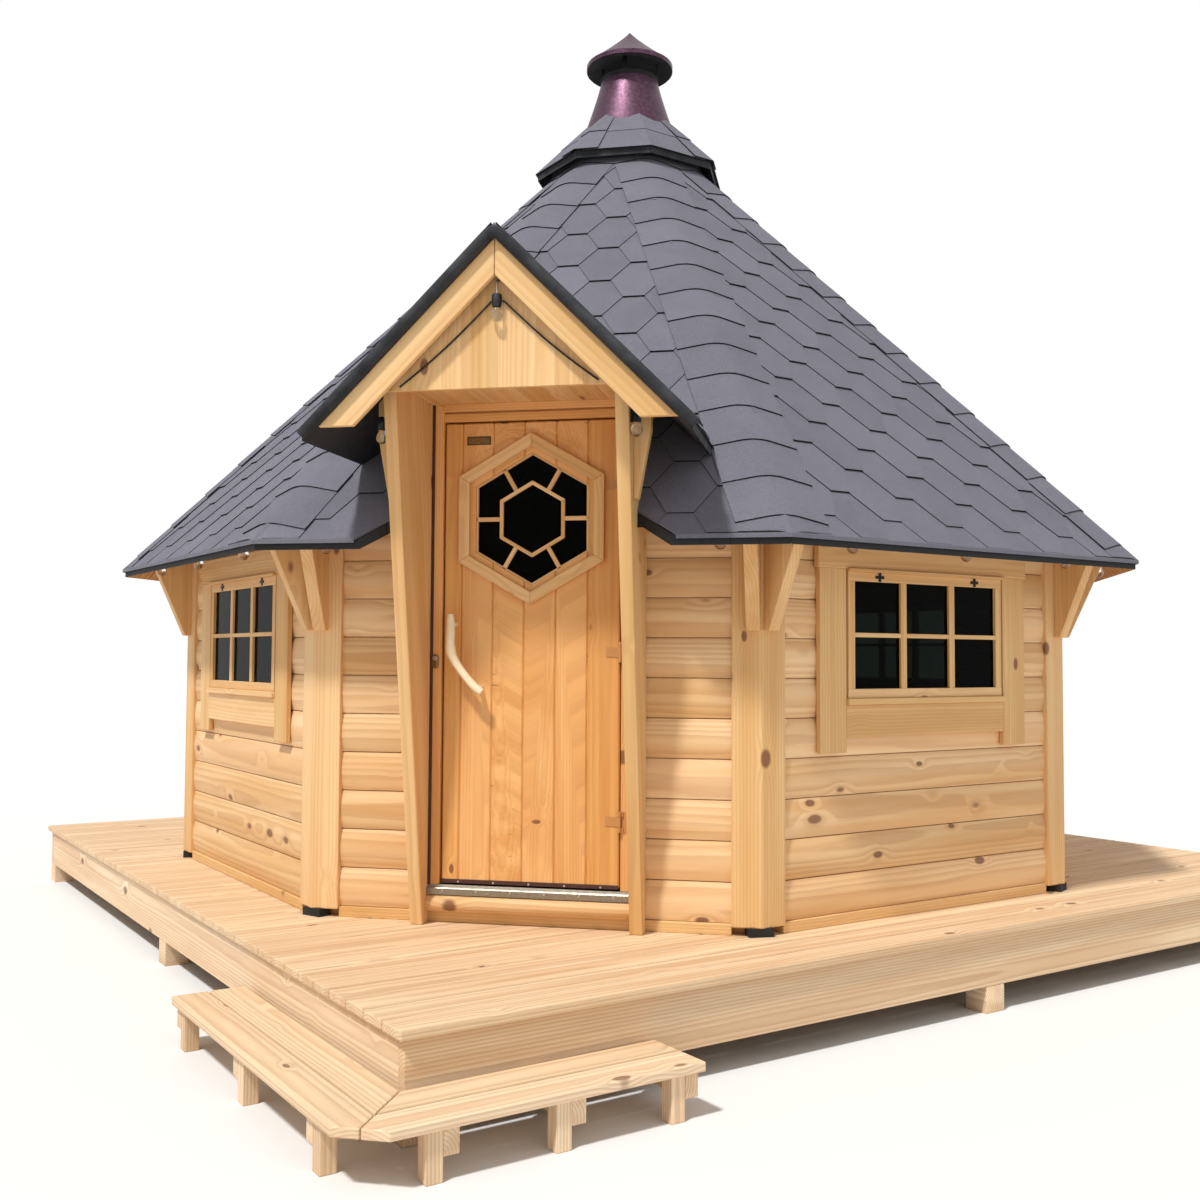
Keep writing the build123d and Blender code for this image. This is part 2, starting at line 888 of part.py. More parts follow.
# Door frame
jamb = door_jamb()
save("door_jambs", [jamb, mirrored(jamb)])
save("door_head", door_head())
save("door_stops", [door_stop(), mirrored(door_stop()), door_stop_head()])
save("door_threshold", door_threshold())
save("door_sill", door_sill())
save("door_frame_hinges", [frame_hinge(height) for height in hinge_heights()])
save("door_lock", door_lock())

# Door leaf
save("door_leaf", door_leaf())
save("door_window_trim", door_window_trim())
save("door_glass", door_glass())
save("door_handle", door_handle())
save("door_plate", door_plate())
save("door_leaf_hinges", [leaf_hinge(height) for height in hinge_heights()])

# Windows
save("window_linings", on_walls(window_lining(), window_walls))
save("window_sashes", on_walls(window_sash(), window_walls))
save("window_glass", on_walls(window_glass(), window_walls))
save("window_trim", [turned_piece for piece in window_boards() for turned_piece in on_walls(piece, window_walls)])
save("window_hinges", [turned_piece for piece in window_hinges() for turned_piece in on_walls(piece, window_walls)])

# String lights
side_string = eave_string(light_stations)
front_string = eave_string((-front_light_station, front_light_station)) - block(
    -cheek_face, cheek_face, -porch_front, 0, 0, porch_peak)
side_strings = on_walls(side_string, range(1, wall_count))
save("string_lights", side_strings + [front_string, gable_string(), cheek_string(), mirrored(cheek_string())])
bulb_top = eave_light_top() - socket_height
bulbs = [turned_bulb for station in light_stations
         for turned_bulb in on_walls(light_bulb(station, -light_face, bulb_top), range(1, wall_count))]
front_bulb = light_bulb(front_light_station, -light_face, bulb_top)
cheek_bulb = light_bulb(cheek_light_x, cheek_light_y, cheek_light_top - socket_height)
gable_bulb = light_bulb(0, gable_light_y, gable_light_top - socket_height)
save("light_bulbs", bulbs + [front_bulb, mirrored(front_bulb), cheek_bulb, mirrored(cheek_bulb), gable_bulb])

# Deck and step
long_rims, short_rims = rim_boards()
save("deck_boards", deck_slab())
save("rim_boards", long_rims)
save("side_rim_boards", short_rims)
save("deck_joists", deck_joists())
save("deck_feet", deck_feet())
save("step_treads", step_treads())
save("step_bearers", step_bearers())
save("step_posts", step_posts())
save("cabin_floor", cabin_floor())
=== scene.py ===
import math
import random

import bmesh
import bpy
from mathutils import Matrix, Vector


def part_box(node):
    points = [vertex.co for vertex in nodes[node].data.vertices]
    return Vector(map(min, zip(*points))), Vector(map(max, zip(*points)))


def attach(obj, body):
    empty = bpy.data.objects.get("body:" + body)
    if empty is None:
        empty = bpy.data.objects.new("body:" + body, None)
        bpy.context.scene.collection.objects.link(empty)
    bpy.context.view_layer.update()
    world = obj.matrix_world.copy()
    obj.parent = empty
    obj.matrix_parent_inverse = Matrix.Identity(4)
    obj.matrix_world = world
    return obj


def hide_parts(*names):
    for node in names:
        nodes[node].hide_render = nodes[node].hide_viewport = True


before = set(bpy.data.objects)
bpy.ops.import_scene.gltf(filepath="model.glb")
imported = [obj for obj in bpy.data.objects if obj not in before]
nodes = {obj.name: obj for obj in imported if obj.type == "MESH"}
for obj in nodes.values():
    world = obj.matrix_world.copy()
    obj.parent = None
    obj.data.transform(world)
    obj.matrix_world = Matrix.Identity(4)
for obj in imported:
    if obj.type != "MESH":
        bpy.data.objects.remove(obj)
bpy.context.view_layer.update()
wallTurn = math.radians(45)
halfTurn = wallTurn / 2
wallCount = 8
axes = {"x": Vector((1, 0, 0)), "y": Vector((0, 1, 0)), "z": Vector((0, 0, 1))}
print("frame loaded")


# Measures from the frame
def wallPlace(wall):
    return Matrix.Rotation(wall * wallTurn, 4, "Z")


def boxOf(points):
    low = Vector([min(point[axis] for point in points) for axis in range(3)])
    high = Vector([max(point[axis] for point in points) for axis in range(3)])
    return low, high


def turnedPoints(node, wall):
    # the node's points in the axes of a wall, as if that wall were the front one
    back = wallPlace(-wall)
    return [back @ vertex.co for vertex in nodes[node].data.vertices]


def wallBox(node, wall):
    # only what the node has on that wall
    reach = math.tan(halfTurn)
    points = turnedPoints(node, wall)
    return boxOf([point for point in points if point.y < 0 and abs(point.x) <= .002 - point.y * reach])


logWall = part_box("back_wall")
logFace, innerFace, wallHalf = logWall[1].y, logWall[0].y, logWall[1].x
wallFoot, wallTop = logWall[0].z, logWall[1].z
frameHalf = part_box("door_wall_right")[0].x
windowWalls = (1, 3, 5, 7)


# Camera, floor and lights
view = {"place": (1.158, -6.566, 1.288), "yaw": -11.24, "pitch": 2.66, "roll": .32, "lens": 37.86}
studio = {"sky": .45, "floor": (.80, .79, .77), "clearFrom": 5.5, "clearTo": 12, "floorSize": 60,
          "sun": {"strength": 3.0, "turn": -24, "height": 58, "width": 5},
          "fill": {"strength": .3, "turn": 55, "height": 35, "width": 60}}


def newObject(name, data):
    made = bpy.data.objects.new(name, data)
    bpy.context.scene.collection.objects.link(made)
    return made


def addNode(tree, kind, inputs=None, **settings):
    made = tree.nodes.new(kind)
    for key, value in settings.items():
        setattr(made, key, value)
    for key, value in (inputs or {}).items():
        if isinstance(value, bpy.types.NodeSocket):
            tree.links.new(value, made.inputs[key])
        else:
            made.inputs[key].default_value = value
    return made


def calc(tree, operation, *values, clamp=False):
    made = addNode(tree, "ShaderNodeMath", dict(enumerate(values)), operation=operation, use_clamp=clamp)
    return made.outputs[0]


def remap(tree, value, fromLow, fromHigh, toLow=0.0, toHigh=1.0):
    inputs = {0: value, 1: fromLow, 2: fromHigh, 3: toLow, 4: toHigh}
    return addNode(tree, "ShaderNodeMapRange", inputs, interpolation_type="SMOOTHSTEP").outputs[0]


def mixColour(tree, share, *colours):
    first, second = (part if isinstance(part, bpy.types.NodeSocket) else (*part, 1) for part in colours)
    return addNode(tree, "ShaderNodeMix", {0: share, 6: first, 7: second}, data_type="RGBA").outputs[2]


def noise(tree, position, stretch, detail=2.0, roughness=.5):
    moved = addNode(tree, "ShaderNodeMapping", {"Vector": position, "Scale": stretch}).outputs[0]
    inputs = {"Vector": moved, "Scale": 1.0, "Detail": detail, "Roughness": roughness}
    return addNode(tree, "ShaderNodeTexNoise", inputs).outputs["Fac"]


def ownPlace(tree):
    return addNode(tree, "ShaderNodeTexCoord").outputs["Object"]


def seenRays(tree):
    # one for what the camera sees itself, in a mirror or through glass
    light = addNode(tree, "ShaderNodeLightPath").outputs
    seen = calc(tree, "MAXIMUM", light["Is Camera Ray"], light["Is Glossy Ray"])
    return calc(tree, "MAXIMUM", seen, light["Is Transmission Ray"])


def newFinish(name, roughness=.6, metallic=0.0):
    finish = bpy.data.materials.new(name)
    finish.use_nodes = True
    shader = finish.node_tree.nodes["Principled BSDF"]
    shader.inputs["Roughness"].default_value = roughness
    shader.inputs["Metallic"].default_value = metallic
    return finish, finish.node_tree, shader


def makeCamera():
    yaw, pitch, roll = (math.radians(view[key]) for key in ("yaw", "pitch", "roll"))
    ahead = Vector((math.sin(yaw) * math.cos(pitch), math.cos(yaw) * math.cos(pitch), math.sin(pitch)))
    level = Vector((math.cos(yaw), -math.sin(yaw), 0))
    above = level.cross(ahead)
    right = level * math.cos(roll) + above * math.sin(roll)
    upright = above * math.cos(roll) - level * math.sin(roll)
    turn = Matrix((right, upright, -ahead)).transposed()
    lens = bpy.data.cameras.new("photoCamera")
    lens.lens = view["lens"]
    lens.sensor_width = 36
    lens.clip_end = 200
    camera = newObject("photoCamera", lens)
    camera.matrix_world = Matrix.Translation(view["place"]) @ turn.to_4x4()
    bpy.context.scene.camera = camera


def makeFloor():
    size = studio["floorSize"]
    mesh = bpy.data.meshes.new("studioFloor")
    corners = [(-size, -size, 0), (size, -size, 0), (size, size, 0), (-size, size, 0)]
    mesh.from_pydata(corners, [], [(0, 1, 2, 3)])
    finish, tree, shader = newFinish("studioFloor", 1)
    shader.inputs["Base Color"].default_value = (*studio["floor"], 1)
    shader.inputs["Specular IOR Level"].default_value = 0
    distance = addNode(tree, "ShaderNodeVectorMath", {0: ownPlace(tree)}, operation="LENGTH").outputs["Value"]
    clear = remap(tree, distance, studio["clearFrom"], studio["clearTo"])
    share = calc(tree, "MULTIPLY", clear, seenRays(tree))
    white = addNode(tree, "ShaderNodeEmission", {"Color": (1, 1, 1, 1), "Strength": 1.0}).outputs[0]
    mixed = addNode(tree, "ShaderNodeMixShader", {0: share, 1: shader.outputs[0], 2: white}).outputs[0]
    tree.links.new(mixed, tree.nodes["Material Output"].inputs["Surface"])
    mesh.materials.append(finish)
    newObject("studioFloor", mesh)


def makeLights():
    world = bpy.data.worlds.new("studioWorld")
    bpy.context.scene.world = world
    world.use_nodes = True
    tree = world.node_tree
    sky = tree.nodes["Background"]
    sky.inputs["Color"].default_value = (1, 1, 1, 1)
    sky.inputs["Strength"].default_value = studio["sky"]
    white = addNode(tree, "ShaderNodeBackground", {"Color": (1, 1, 1, 1), "Strength": 1.0})
    inputs = {0: seenRays(tree), 1: sky.outputs[0], 2: white.outputs[0]}
    mixed = addNode(tree, "ShaderNodeMixShader", inputs).outputs[0]
    tree.links.new(mixed, tree.nodes["World Output"].inputs["Surface"])
    for name in ("sun", "fill"):
        values = studio[name]
        lamp = bpy.data.lights.new(name, "SUN")
        lamp.energy = values["strength"]
        lamp.angle = math.radians(values["width"])
        around, up = math.radians(values["turn"]), math.radians(values["height"])
        towards = Vector((math.sin(around) * math.cos(up), -math.cos(around) * math.cos(up), math.sin(up)))
        newObject(name, lamp).rotation_euler = towards.to_track_quat("Z", "Y").to_euler()
    bpy.context.scene.view_settings.view_transform = "Standard"


makeCamera()
makeFloor()
makeLights()
print("camera, floor and lights made")


# Shader groups
def addSocket(tree, way, kind, label):
    return tree.interface.new_socket(label, in_out=way, socket_type="NodeSocket" + kind)


def groupEnds(tree):
    return tree.nodes.new("NodeGroupInput").outputs, tree.nodes.new("NodeGroupOutput").inputs


def newGroup(name, vector, numbers, results):
    # one vector and some numbers go in, and numbers come out
    tree = bpy.data.node_groups.new(name, "ShaderNodeTree")
    addSocket(tree, "INPUT", "Vector", vector)
    for label, value in numbers.items():
        addSocket(tree, "INPUT", "Float", label).default_value = value
    for label in results:
        addSocket(tree, "OUTPUT", "Float", label)
    return tree, *groupEnds(tree)


def buildWoodGroup():
    numbers = {"Ring Width": .007, "Warp": .02, "Knot Share": .35}
    results = ("Rings", "Knots", "Fibre", "Drift", "Height")
    tree, source, result = newGroup("woodGrain", "Grain", numbers, results)
    grain = source["Grain"]
    bend = noise(tree, grain, (.7, 6, 6), 2)
    cells = addNode(tree, "ShaderNodeMapping", {"Vector": grain, "Scale": (4.3, 8.5, 1.6)}).outputs[0]
    knot = addNode(tree, "ShaderNodeTexVoronoi", {"Vector": cells, "Scale": 1.0}, feature="F1").outputs
    colour = addNode(tree, "ShaderNodeSeparateColor", {0: knot["Color"]}).outputs
    there = calc(tree, "LESS_THAN", colour[0], source["Knot Share"])
    inside = calc(tree, "DIVIDE", knot["Distance"], remap(tree, colour[1], 0, 1, .07, .15))
    spot = calc(tree, "MULTIPLY", remap(tree, inside, 1.25, .75), there)
    swell = calc(tree, "MULTIPLY", remap(tree, inside, 4.5, 0), there)
    flat = addNode(tree, "ShaderNodeVectorMath", {0: grain, 1: (0, 1, 1)}, operation="MULTIPLY").outputs[0]
    radius = addNode(tree, "ShaderNodeVectorMath", {0: flat}, operation="LENGTH").outputs["Value"]
    bent = calc(tree, "MULTIPLY_ADD", calc(tree, "SUBTRACT", bend, .5), source["Warp"], radius)
    bent = calc(tree, "MULTIPLY_ADD", calc(tree, "MULTIPLY", swell, swell), .016, bent)
    phase = calc(tree, "FRACT", calc(tree, "DIVIDE", bent, source["Ring Width"]))
    late = calc(tree, "MULTIPLY", remap(tree, phase, .15, .85), remap(tree, phase, 1, .88))
    fibre = noise(tree, grain, (9, 380, 380), 2)
    drift = noise(tree, grain, (.8, 14, 14), 2)
    height = calc(tree, "MULTIPLY_ADD", fibre, .5, calc(tree, "MULTIPLY", late, .35))
    height = calc(tree, "MULTIPLY_ADD", spot, .4, height)
    for label, value in zip(results, (late, spot, fibre, drift, height)):
        tree.links.new(value, result[label])
    return tree


def buildGritGroup():
    tree, source, result = newGroup("mineralGrit", "Position", {}, ("Grit", "Patch"))
    for label, scale, detail, roughness in (("Grit", 520, 2, .7), ("Patch", 5, 3, .6)):
        tree.links.new(noise(tree, source["Position"], (scale,) * 3, detail, roughness), result[label])
    return tree


woodGroup = buildWoodGroup()
gritGroup = buildGritGroup()


# Finishes
def paint(red, green, blue):
    # a colour as a paint chart gives it, 0 to 255, in the linear values that a shader takes
    shares = (part / 255 for part in (red, green, blue))
    return tuple(((share + .055) / 1.055) ** 2.4 if share > .04 else share / 12.92 for share in shares)


def paints(*colours):
    return [paint(*colour) for colour in colours]


def attribute(tree, name, output):
    made = addNode(tree, "ShaderNodeAttribute", attribute_name=name, attribute_type="GEOMETRY")
    return made.outputs[output]


def closeFinish(tree, shader, colour, height, distance):
    tree.links.new(colour, shader.inputs["Base Color"])
    bump = addNode(tree, "ShaderNodeBump", {"Height": height, "Distance": distance, "Strength": 1.0})
    tree.links.new(bump.outputs[0], shader.inputs["Normal"])


def timber(name, *colours, ring=.010, ringShare=.25, fibreShare=.35, warp=.02, knots=.25, spread=.10,
           roughness=.62):
    light, warm, dark, knot = paints(*colours)
    finish, tree, shader = newFinish(name)
    grain = attribute(tree, "grain", "Vector")
    inputs = {"Grain": grain, "Ring Width": ring, "Warp": warp, "Knot Share": knots}
    wood = addNode(tree, "ShaderNodeGroup", inputs, node_tree=woodGroup).outputs
    colour = mixColour(tree, remap(tree, wood["Drift"], .3, .7), light, warm)
    share = calc(tree, "MULTIPLY", wood["Rings"], ringShare)
    fibre = calc(tree, "SUBTRACT", wood["Fibre"], .5)
    colour = mixColour(tree, calc(tree, "MULTIPLY_ADD", fibre, fibreShare, share, clamp=True), colour, dark)
    colour = mixColour(tree, calc(tree, "MULTIPLY", wood["Knots"], .8), colour, knot)
    tone = attribute(tree, "tone", "Fac")
    inputs = {"Color": colour, "Value": calc(tree, "MULTIPLY_ADD", tone, spread, 1),
              "Saturation": calc(tree, "MULTIPLY_ADD", tone, -spread * .6, 1)}
    colour = addNode(tree, "ShaderNodeHueSaturation", inputs).outputs[0]
    rough = remap(tree, wood["Fibre"], .2, .8, roughness - .08, roughness + .1)
    tree.links.new(rough, shader.inputs["Roughness"])
    closeFinish(tree, shader, colour, wood["Height"], .0008)
    return finish


def shingles(name, *colours):
    base, dark, rim = paints(*colours)
    finish, tree, shader = newFinish(name, .9)
    grit = addNode(tree, "ShaderNodeGroup", {"Position": ownPlace(tree)}, node_tree=gritGroup).outputs
    colour = mixColour(tree, remap(tree, grit["Grit"], .38, .62), dark, base)
    colour = mixColour(tree, remap(tree, grit["Patch"], .35, .75, 0, .3), colour, dark)
    level = calc(tree, "MULTIPLY_ADD", attribute(tree, "tone", "Fac"), .07, 1)
    colour = addNode(tree, "ShaderNodeHueSaturation", {"Color": colour, "Value": level}).outputs[0]
    colour = mixColour(tree, attribute(tree, "rim", "Fac"), colour, rim)
    closeFinish(tree, shader, colour, grit["Grit"], .0012)
    return finish


def gritty(name, light, dark, roughness, fine=380, bump=.0006, metallic=0.0):
    # paint, felt, rubber and dull metal: two close tones in a fine pattern
    light, dark = paints(light, dark)
    finish, tree, shader = newFinish(name, roughness, metallic)
    fine = fine if isinstance(fine, tuple) else (fine,) * 3
    spot = ownPlace(tree)
    small, wide = (noise(tree, spot, tuple(part / scale for part in fine), 2, .6) for scale in (1, 40))
    colour = mixColour(tree, remap(tree, small, .3, .7), light, dark)
    colour = mixColour(tree, remap(tree, wide, .35, .8, 0, .5), colour, dark)
    rough = remap(tree, wide, .3, .7, roughness * .85, min(1, roughness * 1.2))
    tree.links.new(rough, shader.inputs["Roughness"])
    closeFinish(tree, shader, colour, small, bump)
    return finish


def glass(name, colour, bending):
    finish, tree, shader = newFinish(name, .02)
    wave = noise(tree, ownPlace(tree), (3, 3, 3), 1)
    tinted = mixColour(tree, remap(tree, wave, .3, .7), colour, tuple(part * .94 for part in colour))
    shader.inputs["Transmission Weight"].default_value = 1
    shader.inputs["IOR"].default_value = bending
    closeFinish(tree, shader, tinted, wave, .0008)
    return finish


lining = {"board": .095, "slit": (.455, .49), "dark": .25, "under": -.35}


def roofLining(name, *colours):
    # boards that run up the slope underneath, and black felt on the edges and the top
    light, dark, edge = paints(*colours)
    finish, tree, shader = newFinish(name, .75)
    spot = ownPlace(tree)
    parts = addNode(tree, "ShaderNodeSeparateXYZ", {0: spot}).outputs
    angle = calc(tree, "ARCTAN2", parts[0], calc(tree, "MULTIPLY", parts[1], -1))
    wall = calc(tree, "ROUND", calc(tree, "DIVIDE", angle, wallTurn))
    turn = {"Vector": spot, "Angle": calc(tree, "MULTIPLY", wall, -wallTurn)}
    turned = addNode(tree, "ShaderNodeVectorRotate", turn, rotation_type="Z_AXIS").outputs[0]
    across = addNode(tree, "ShaderNodeSeparateXYZ", {0: turned}).outputs[0]
    board = calc(tree, "FRACT", calc(tree, "DIVIDE", across, lining["board"]))
    groove = remap(tree, calc(tree, "ABSOLUTE", calc(tree, "SUBTRACT", board, .5)), *lining["slit"])
    grain = noise(tree, turned, (130, 5, 5), 2)
    colour = mixColour(tree, remap(tree, grain, .3, .7), light, dark)
    colour = mixColour(tree, groove, colour, tuple(part * lining["dark"] for part in dark))
    normal = addNode(tree, "ShaderNodeNewGeometry").outputs["Normal"]
    lie = addNode(tree, "ShaderNodeSeparateXYZ", {0: normal}).outputs[2]
    colour = mixColour(tree, calc(tree, "GREATER_THAN", lie, lining["under"]), colour, edge)
    closeFinish(tree, shader, colour, calc(tree, "SUBTRACT", grain, calc(tree, "MULTIPLY", groove, 2)), .001)
    return finish


knotBrown = (104, 46, 18)
logFinish = timber("logPine", (236, 200, 152), (224, 178, 122), (190, 136, 84), knotBrown,
                   ring=.012, ringShare=.38, warp=.03, knots=.52)
trimFinish = timber("trimPine", (232, 192, 136), (219, 172, 111), (186, 132, 76), knotBrown,
                    ring=.012, ringShare=.28, knots=.6, spread=.07)
doorFinish = timber("doorPine", (234, 178, 110), (218, 156, 86), (182, 116, 58), (104, 50, 24),
                    ringShare=.24, knots=.55, spread=.06, roughness=.5)
deckFinish = timber("deckTimber", (238, 211, 174), (222, 187, 148), (178, 137, 98), (112, 74, 50),
                    ringShare=.42, fibreShare=.5, roughness=.7)
branchFinish = timber("peeledBranch", (243, 226, 192), (234, 209, 166), (204, 170, 122), (140, 90, 50),
                      ring=.004, spread=.02, roughness=.45)
shingleFinish = shingles("roofShingle", (127, 125, 136), (88, 87, 97), (16, 16, 19))
feltFinish = gritty("roofFelt", (44, 46, 50), (24, 25, 28), .8, 420, .001)
liningFinish = roofLining("roofLining", (206, 160, 102), (170, 118, 66), (20, 20, 22))
chimneyFinish = gritty("chimneyPaint", (94, 66, 82), (70, 48, 62), .46, 60, .0001, .9)
# near-black paint under the hat and on the cone's lip: painted shade of the hat's underside and painted
# shadow that the hat casts on the lip
hatShadowPaint = gritty("hatLining", (26, 24, 25), (14, 13, 14), .95, 200, .0003)
ironFinish = gritty("blackIron", (34, 33, 32), (22, 21, 20), .45, 300, .0003, .6)
sillFinish = gritty("sillMetal", (168, 158, 142), (130, 120, 104), .38, (90, 400, 400), .0002, .9)
screwFinish = gritty("screwSteel", (216, 208, 196), (176, 168, 156), .35, 500, .0001, .8)
hingeFinish = gritty("hingePaint", (208, 150, 88), (182, 126, 70), .45)
# dark brown for the seal along the leaf's foot, also used as painted shadow in the gaps beside the jambs
sealAndGapShadowPaint = gritty("doorSeal", (86, 44, 32), (52, 22, 16), .6)
padFinish = gritty("footPad", (40, 38, 36), (24, 22, 22), .85)
rubberFinish = gritty("lightRubber", (28, 28, 27), (16, 16, 16), .6)
plateFinish = gritty("plateMetal", (150, 122, 74), (112, 88, 50), .35, (60, 700, 700), .0001, .9)
plateEdge = gritty("plateEdge", (96, 78, 44), (70, 56, 32), .5, (60, 700, 700), .0001, .5)
# nearly black tint on the window and door glass: painted shade of the dark room behind the panes
windowGlass = glass("windowGlass", (.07, .085, .075), 1.09)
bulbGlass = glass("bulbGlass", (.97, .97, .95), 1.45)
print("finishes made")


# Mesh helpers
def newTimber():
    bm = bmesh.new()
    bm.verts.layers.float_vector.new("grain")
    bm.verts.layers.float.new("tone")
    return bm


def treeCut(dice, near=.03, far=.12):
    # where in its tree a board is cut
    return Vector((dice.uniform(0, 40), dice.uniform(-.05, .05), dice.uniform(near, far)))


def setGrain(bm, spots, middle, three, dice):
    # the grain lies in the piece's own three axes, and each piece is cut from its own tree
    grain = bm.verts.layers.float_vector["grain"]
    tone = bm.verts.layers.float["tone"]
    cut = treeCut(dice)
    shade = dice.uniform(-1, 1)
    for vert, spot in spots:
        vert[grain] = Vector([(spot - middle).dot(axis) for axis in three]) + cut
        vert[tone] = shade


def addSolid(bm, corners, faces, along, across, dice, place=None):
    # the grain runs along the piece, and its face lies along and across
    low, high = boxOf(corners)
    made = [bm.verts.new(place @ corner if place else corner) for corner in corners]
    setGrain(bm, zip(made, corners), (low + high) / 2, (along, across, along.cross(across)), dice)
    for face in faces:
        bm.faces.new([made[index] for index in face])


def addBox(bm, low, high, along, dice, place=None):
    reaches = list(zip(low, high))
    corners = [Vector((x, y, z)) for z in reaches[2] for y in reaches[1] for x in reaches[0]]
    faces = [(0, 2, 3, 1), (4, 5, 7, 6), (0, 1, 5, 4), (2, 6, 7, 3), (0, 4, 6, 2), (1, 3, 7, 5)]
    others = [axis for axis in "xyz" if axis != along]
    wide = max(others, key=lambda axis: high["xyz".index(axis)] - low["xyz".index(axis)])
    addSolid(bm, corners, faces, axes[along], axes[wide], dice, place)


def addPrism(bm, outline, push, along, across, dice, place=None):
    # outline is a flat loop of points, and push carries it to the other face
    count = len(outline)
    corners = outline + [point + push for point in outline]
    faces = [range(count)[::-1], range(count, 2 * count)]
    for here in range(count):
        after = (here + 1) % count
        faces.append((here, after, after + count, here + count))
    addSolid(bm, corners, faces, along, across, dice, place)


def closeLoops(bm, first, second):
    # makes a closed piece between two loops of points, and returns the faces that join them
    first, second = ([bm.verts.new(point) for point in loop] for loop in (first, second))
    bm.faces.new(first)
    bm.faces.new(second[::-1])
    following = zip(first, first[1:] + first[:1], second, second[1:] + second[:1])
    joined = [bm.faces.new((after, here, under, underAfter)) for here, after, under, underAfter in following]
    bmesh.ops.recalc_face_normals(bm, faces=bm.faces)
    return joined


def settle(piece):
    # the modifiers' result becomes the piece's own plain mesh
    graph = bpy.context.evaluated_depsgraph_get()
    graph.update()
    result = piece.evaluated_get(graph)
    mesh = bpy.data.meshes.new_from_object(result, preserve_all_data_layers=True, depsgraph=graph)
    piece.modifiers.clear()
    piece.data = mesh
    mesh.name = piece.name
    return piece


def newPiece(name, bm, finish=None):
    mesh = bpy.data.meshes.new(name)
    bm.to_mesh(mesh)
    bm.free()
    if finish:
        # clearing also sets every face back to the first slot
        mesh.materials.clear()
        mesh.materials.append(finish)
    return newObject(name, mesh)


def bevelled(piece, width, segments=2):
    bevel = piece.modifiers.new("edges", "BEVEL")
    bevel.width = width
    bevel.segments = segments
    bevel.limit_method = "ANGLE"
    bevel.angle_limit = math.radians(40)
    return settle(piece)


def handOver(piece, replaced=(), body="cabin"):
    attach(piece, body)
    if replaced:
        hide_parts(*replaced)


def finishPiece(name, bm, finish, slot, replaced=(), body="cabin", bevel=0, smoothAngle=None):
    bmesh.ops.recalc_face_normals(bm, faces=bm.faces)
    piece = newPiece(name, bm, finish)
    if bevel:
        bevelled(piece, bevel)
    if smoothAngle:
        piece.data.shade_smooth()
        piece.data.set_sharp_from_angle(angle=math.radians(smoothAngle))
    handOver(piece, replaced, body)


def makeBoxes(name, boxes, along, dice, *settings, **more):
    bm = newTimber()
    for low, high in boxes:
        addBox(bm, low, high, along, dice)
    finishPiece(name, bm, *settings, **more)


def refinish(finish, *names):
    # the CAD nodes that keep their own shape only get another material
    for name in names:
        nodes[name].data.materials.clear()
        nodes[name].data.materials.append(finish)


def addTube(bm, path, radii, sides):
    # a round rod along a path, closed at both ends, with its grain along it
    grain = bm.verts.layers.float_vector.get("grain")
    rings, turned, run = [], axes["z"], 0
    for index, point in enumerate(path):
        before, after = path[max(index - 1, 0)], path[min(index + 1, len(path) - 1)]
        ahead = (after - before).normalized()
        lean = turned.dot(ahead)
        turned = (turned - ahead * lean).normalized() if abs(lean) < .99 else axes["y"]
        side = ahead.cross(turned)
        run += (point - before).length
        ring = []
        for step in range(sides):
            angle = 2 * math.pi * step / sides
            offset = (turned * math.cos(angle) + side * math.sin(angle)) * radii[index]
            ring.append(bm.verts.new(point + offset))
            if grain is not None:
                ring[-1][grain] = (run, offset.dot(side) + .004, offset.dot(turned) + .02)
        rings.append(ring)
    bm.faces.new(rings[0][::-1])
    bm.faces.new(rings[-1])
    for ring, after in zip(rings, rings[1:]):
        for step in range(sides):
            other = (step + 1) % sides
            bm.faces.new((ring[step], ring[other], after[other], after[step]))


def cutPlane(bm, point, normal):
    # takes away what lies beyond the plane and closes the cut
    geometry = bm.verts[:] + bm.edges[:] + bm.faces[:]
    bmesh.ops.bisect_plane(bm, geom=geometry, dist=1e-6, plane_co=point, plane_no=normal, clear_outer=True)
    bmesh.ops.holes_fill(bm, edges=[edge for edge in bm.edges if edge.is_boundary], sides=0)


def joinMesh(bm, part, cuts=()):
    # adds a part to a mesh, once the cuts have been made in it
    for point, normal in cuts:
        cutPlane(part, point, normal)
    mesh = bpy.data.meshes.new("part")
    part.to_mesh(mesh)
    part.free()
    bm.from_mesh(mesh)
    bpy.data.meshes.remove(mesh)


def islands(bm):
    # groups of joined vertices, in the order of the mesh
    seen, found = set(), []
    for first in bm.verts:
        if first in seen:
            continue
        seen.add(first)
        group, waiting = [first], [first]
        while waiting:
            vert = waiting.pop()
            for link in vert.link_edges:
                other = link.other_vert(vert)
                if other not in seen:
                    seen.add(other)
                    group.append(other)
                    waiting.append(other)
        found.append(group)
    return found


def nodeMesh(node):
    bm = bmesh.new()
    bm.from_mesh(nodes[node].data)
    bmesh.ops.remove_doubles(bm, verts=bm.verts, dist=1e-5)
    return bm


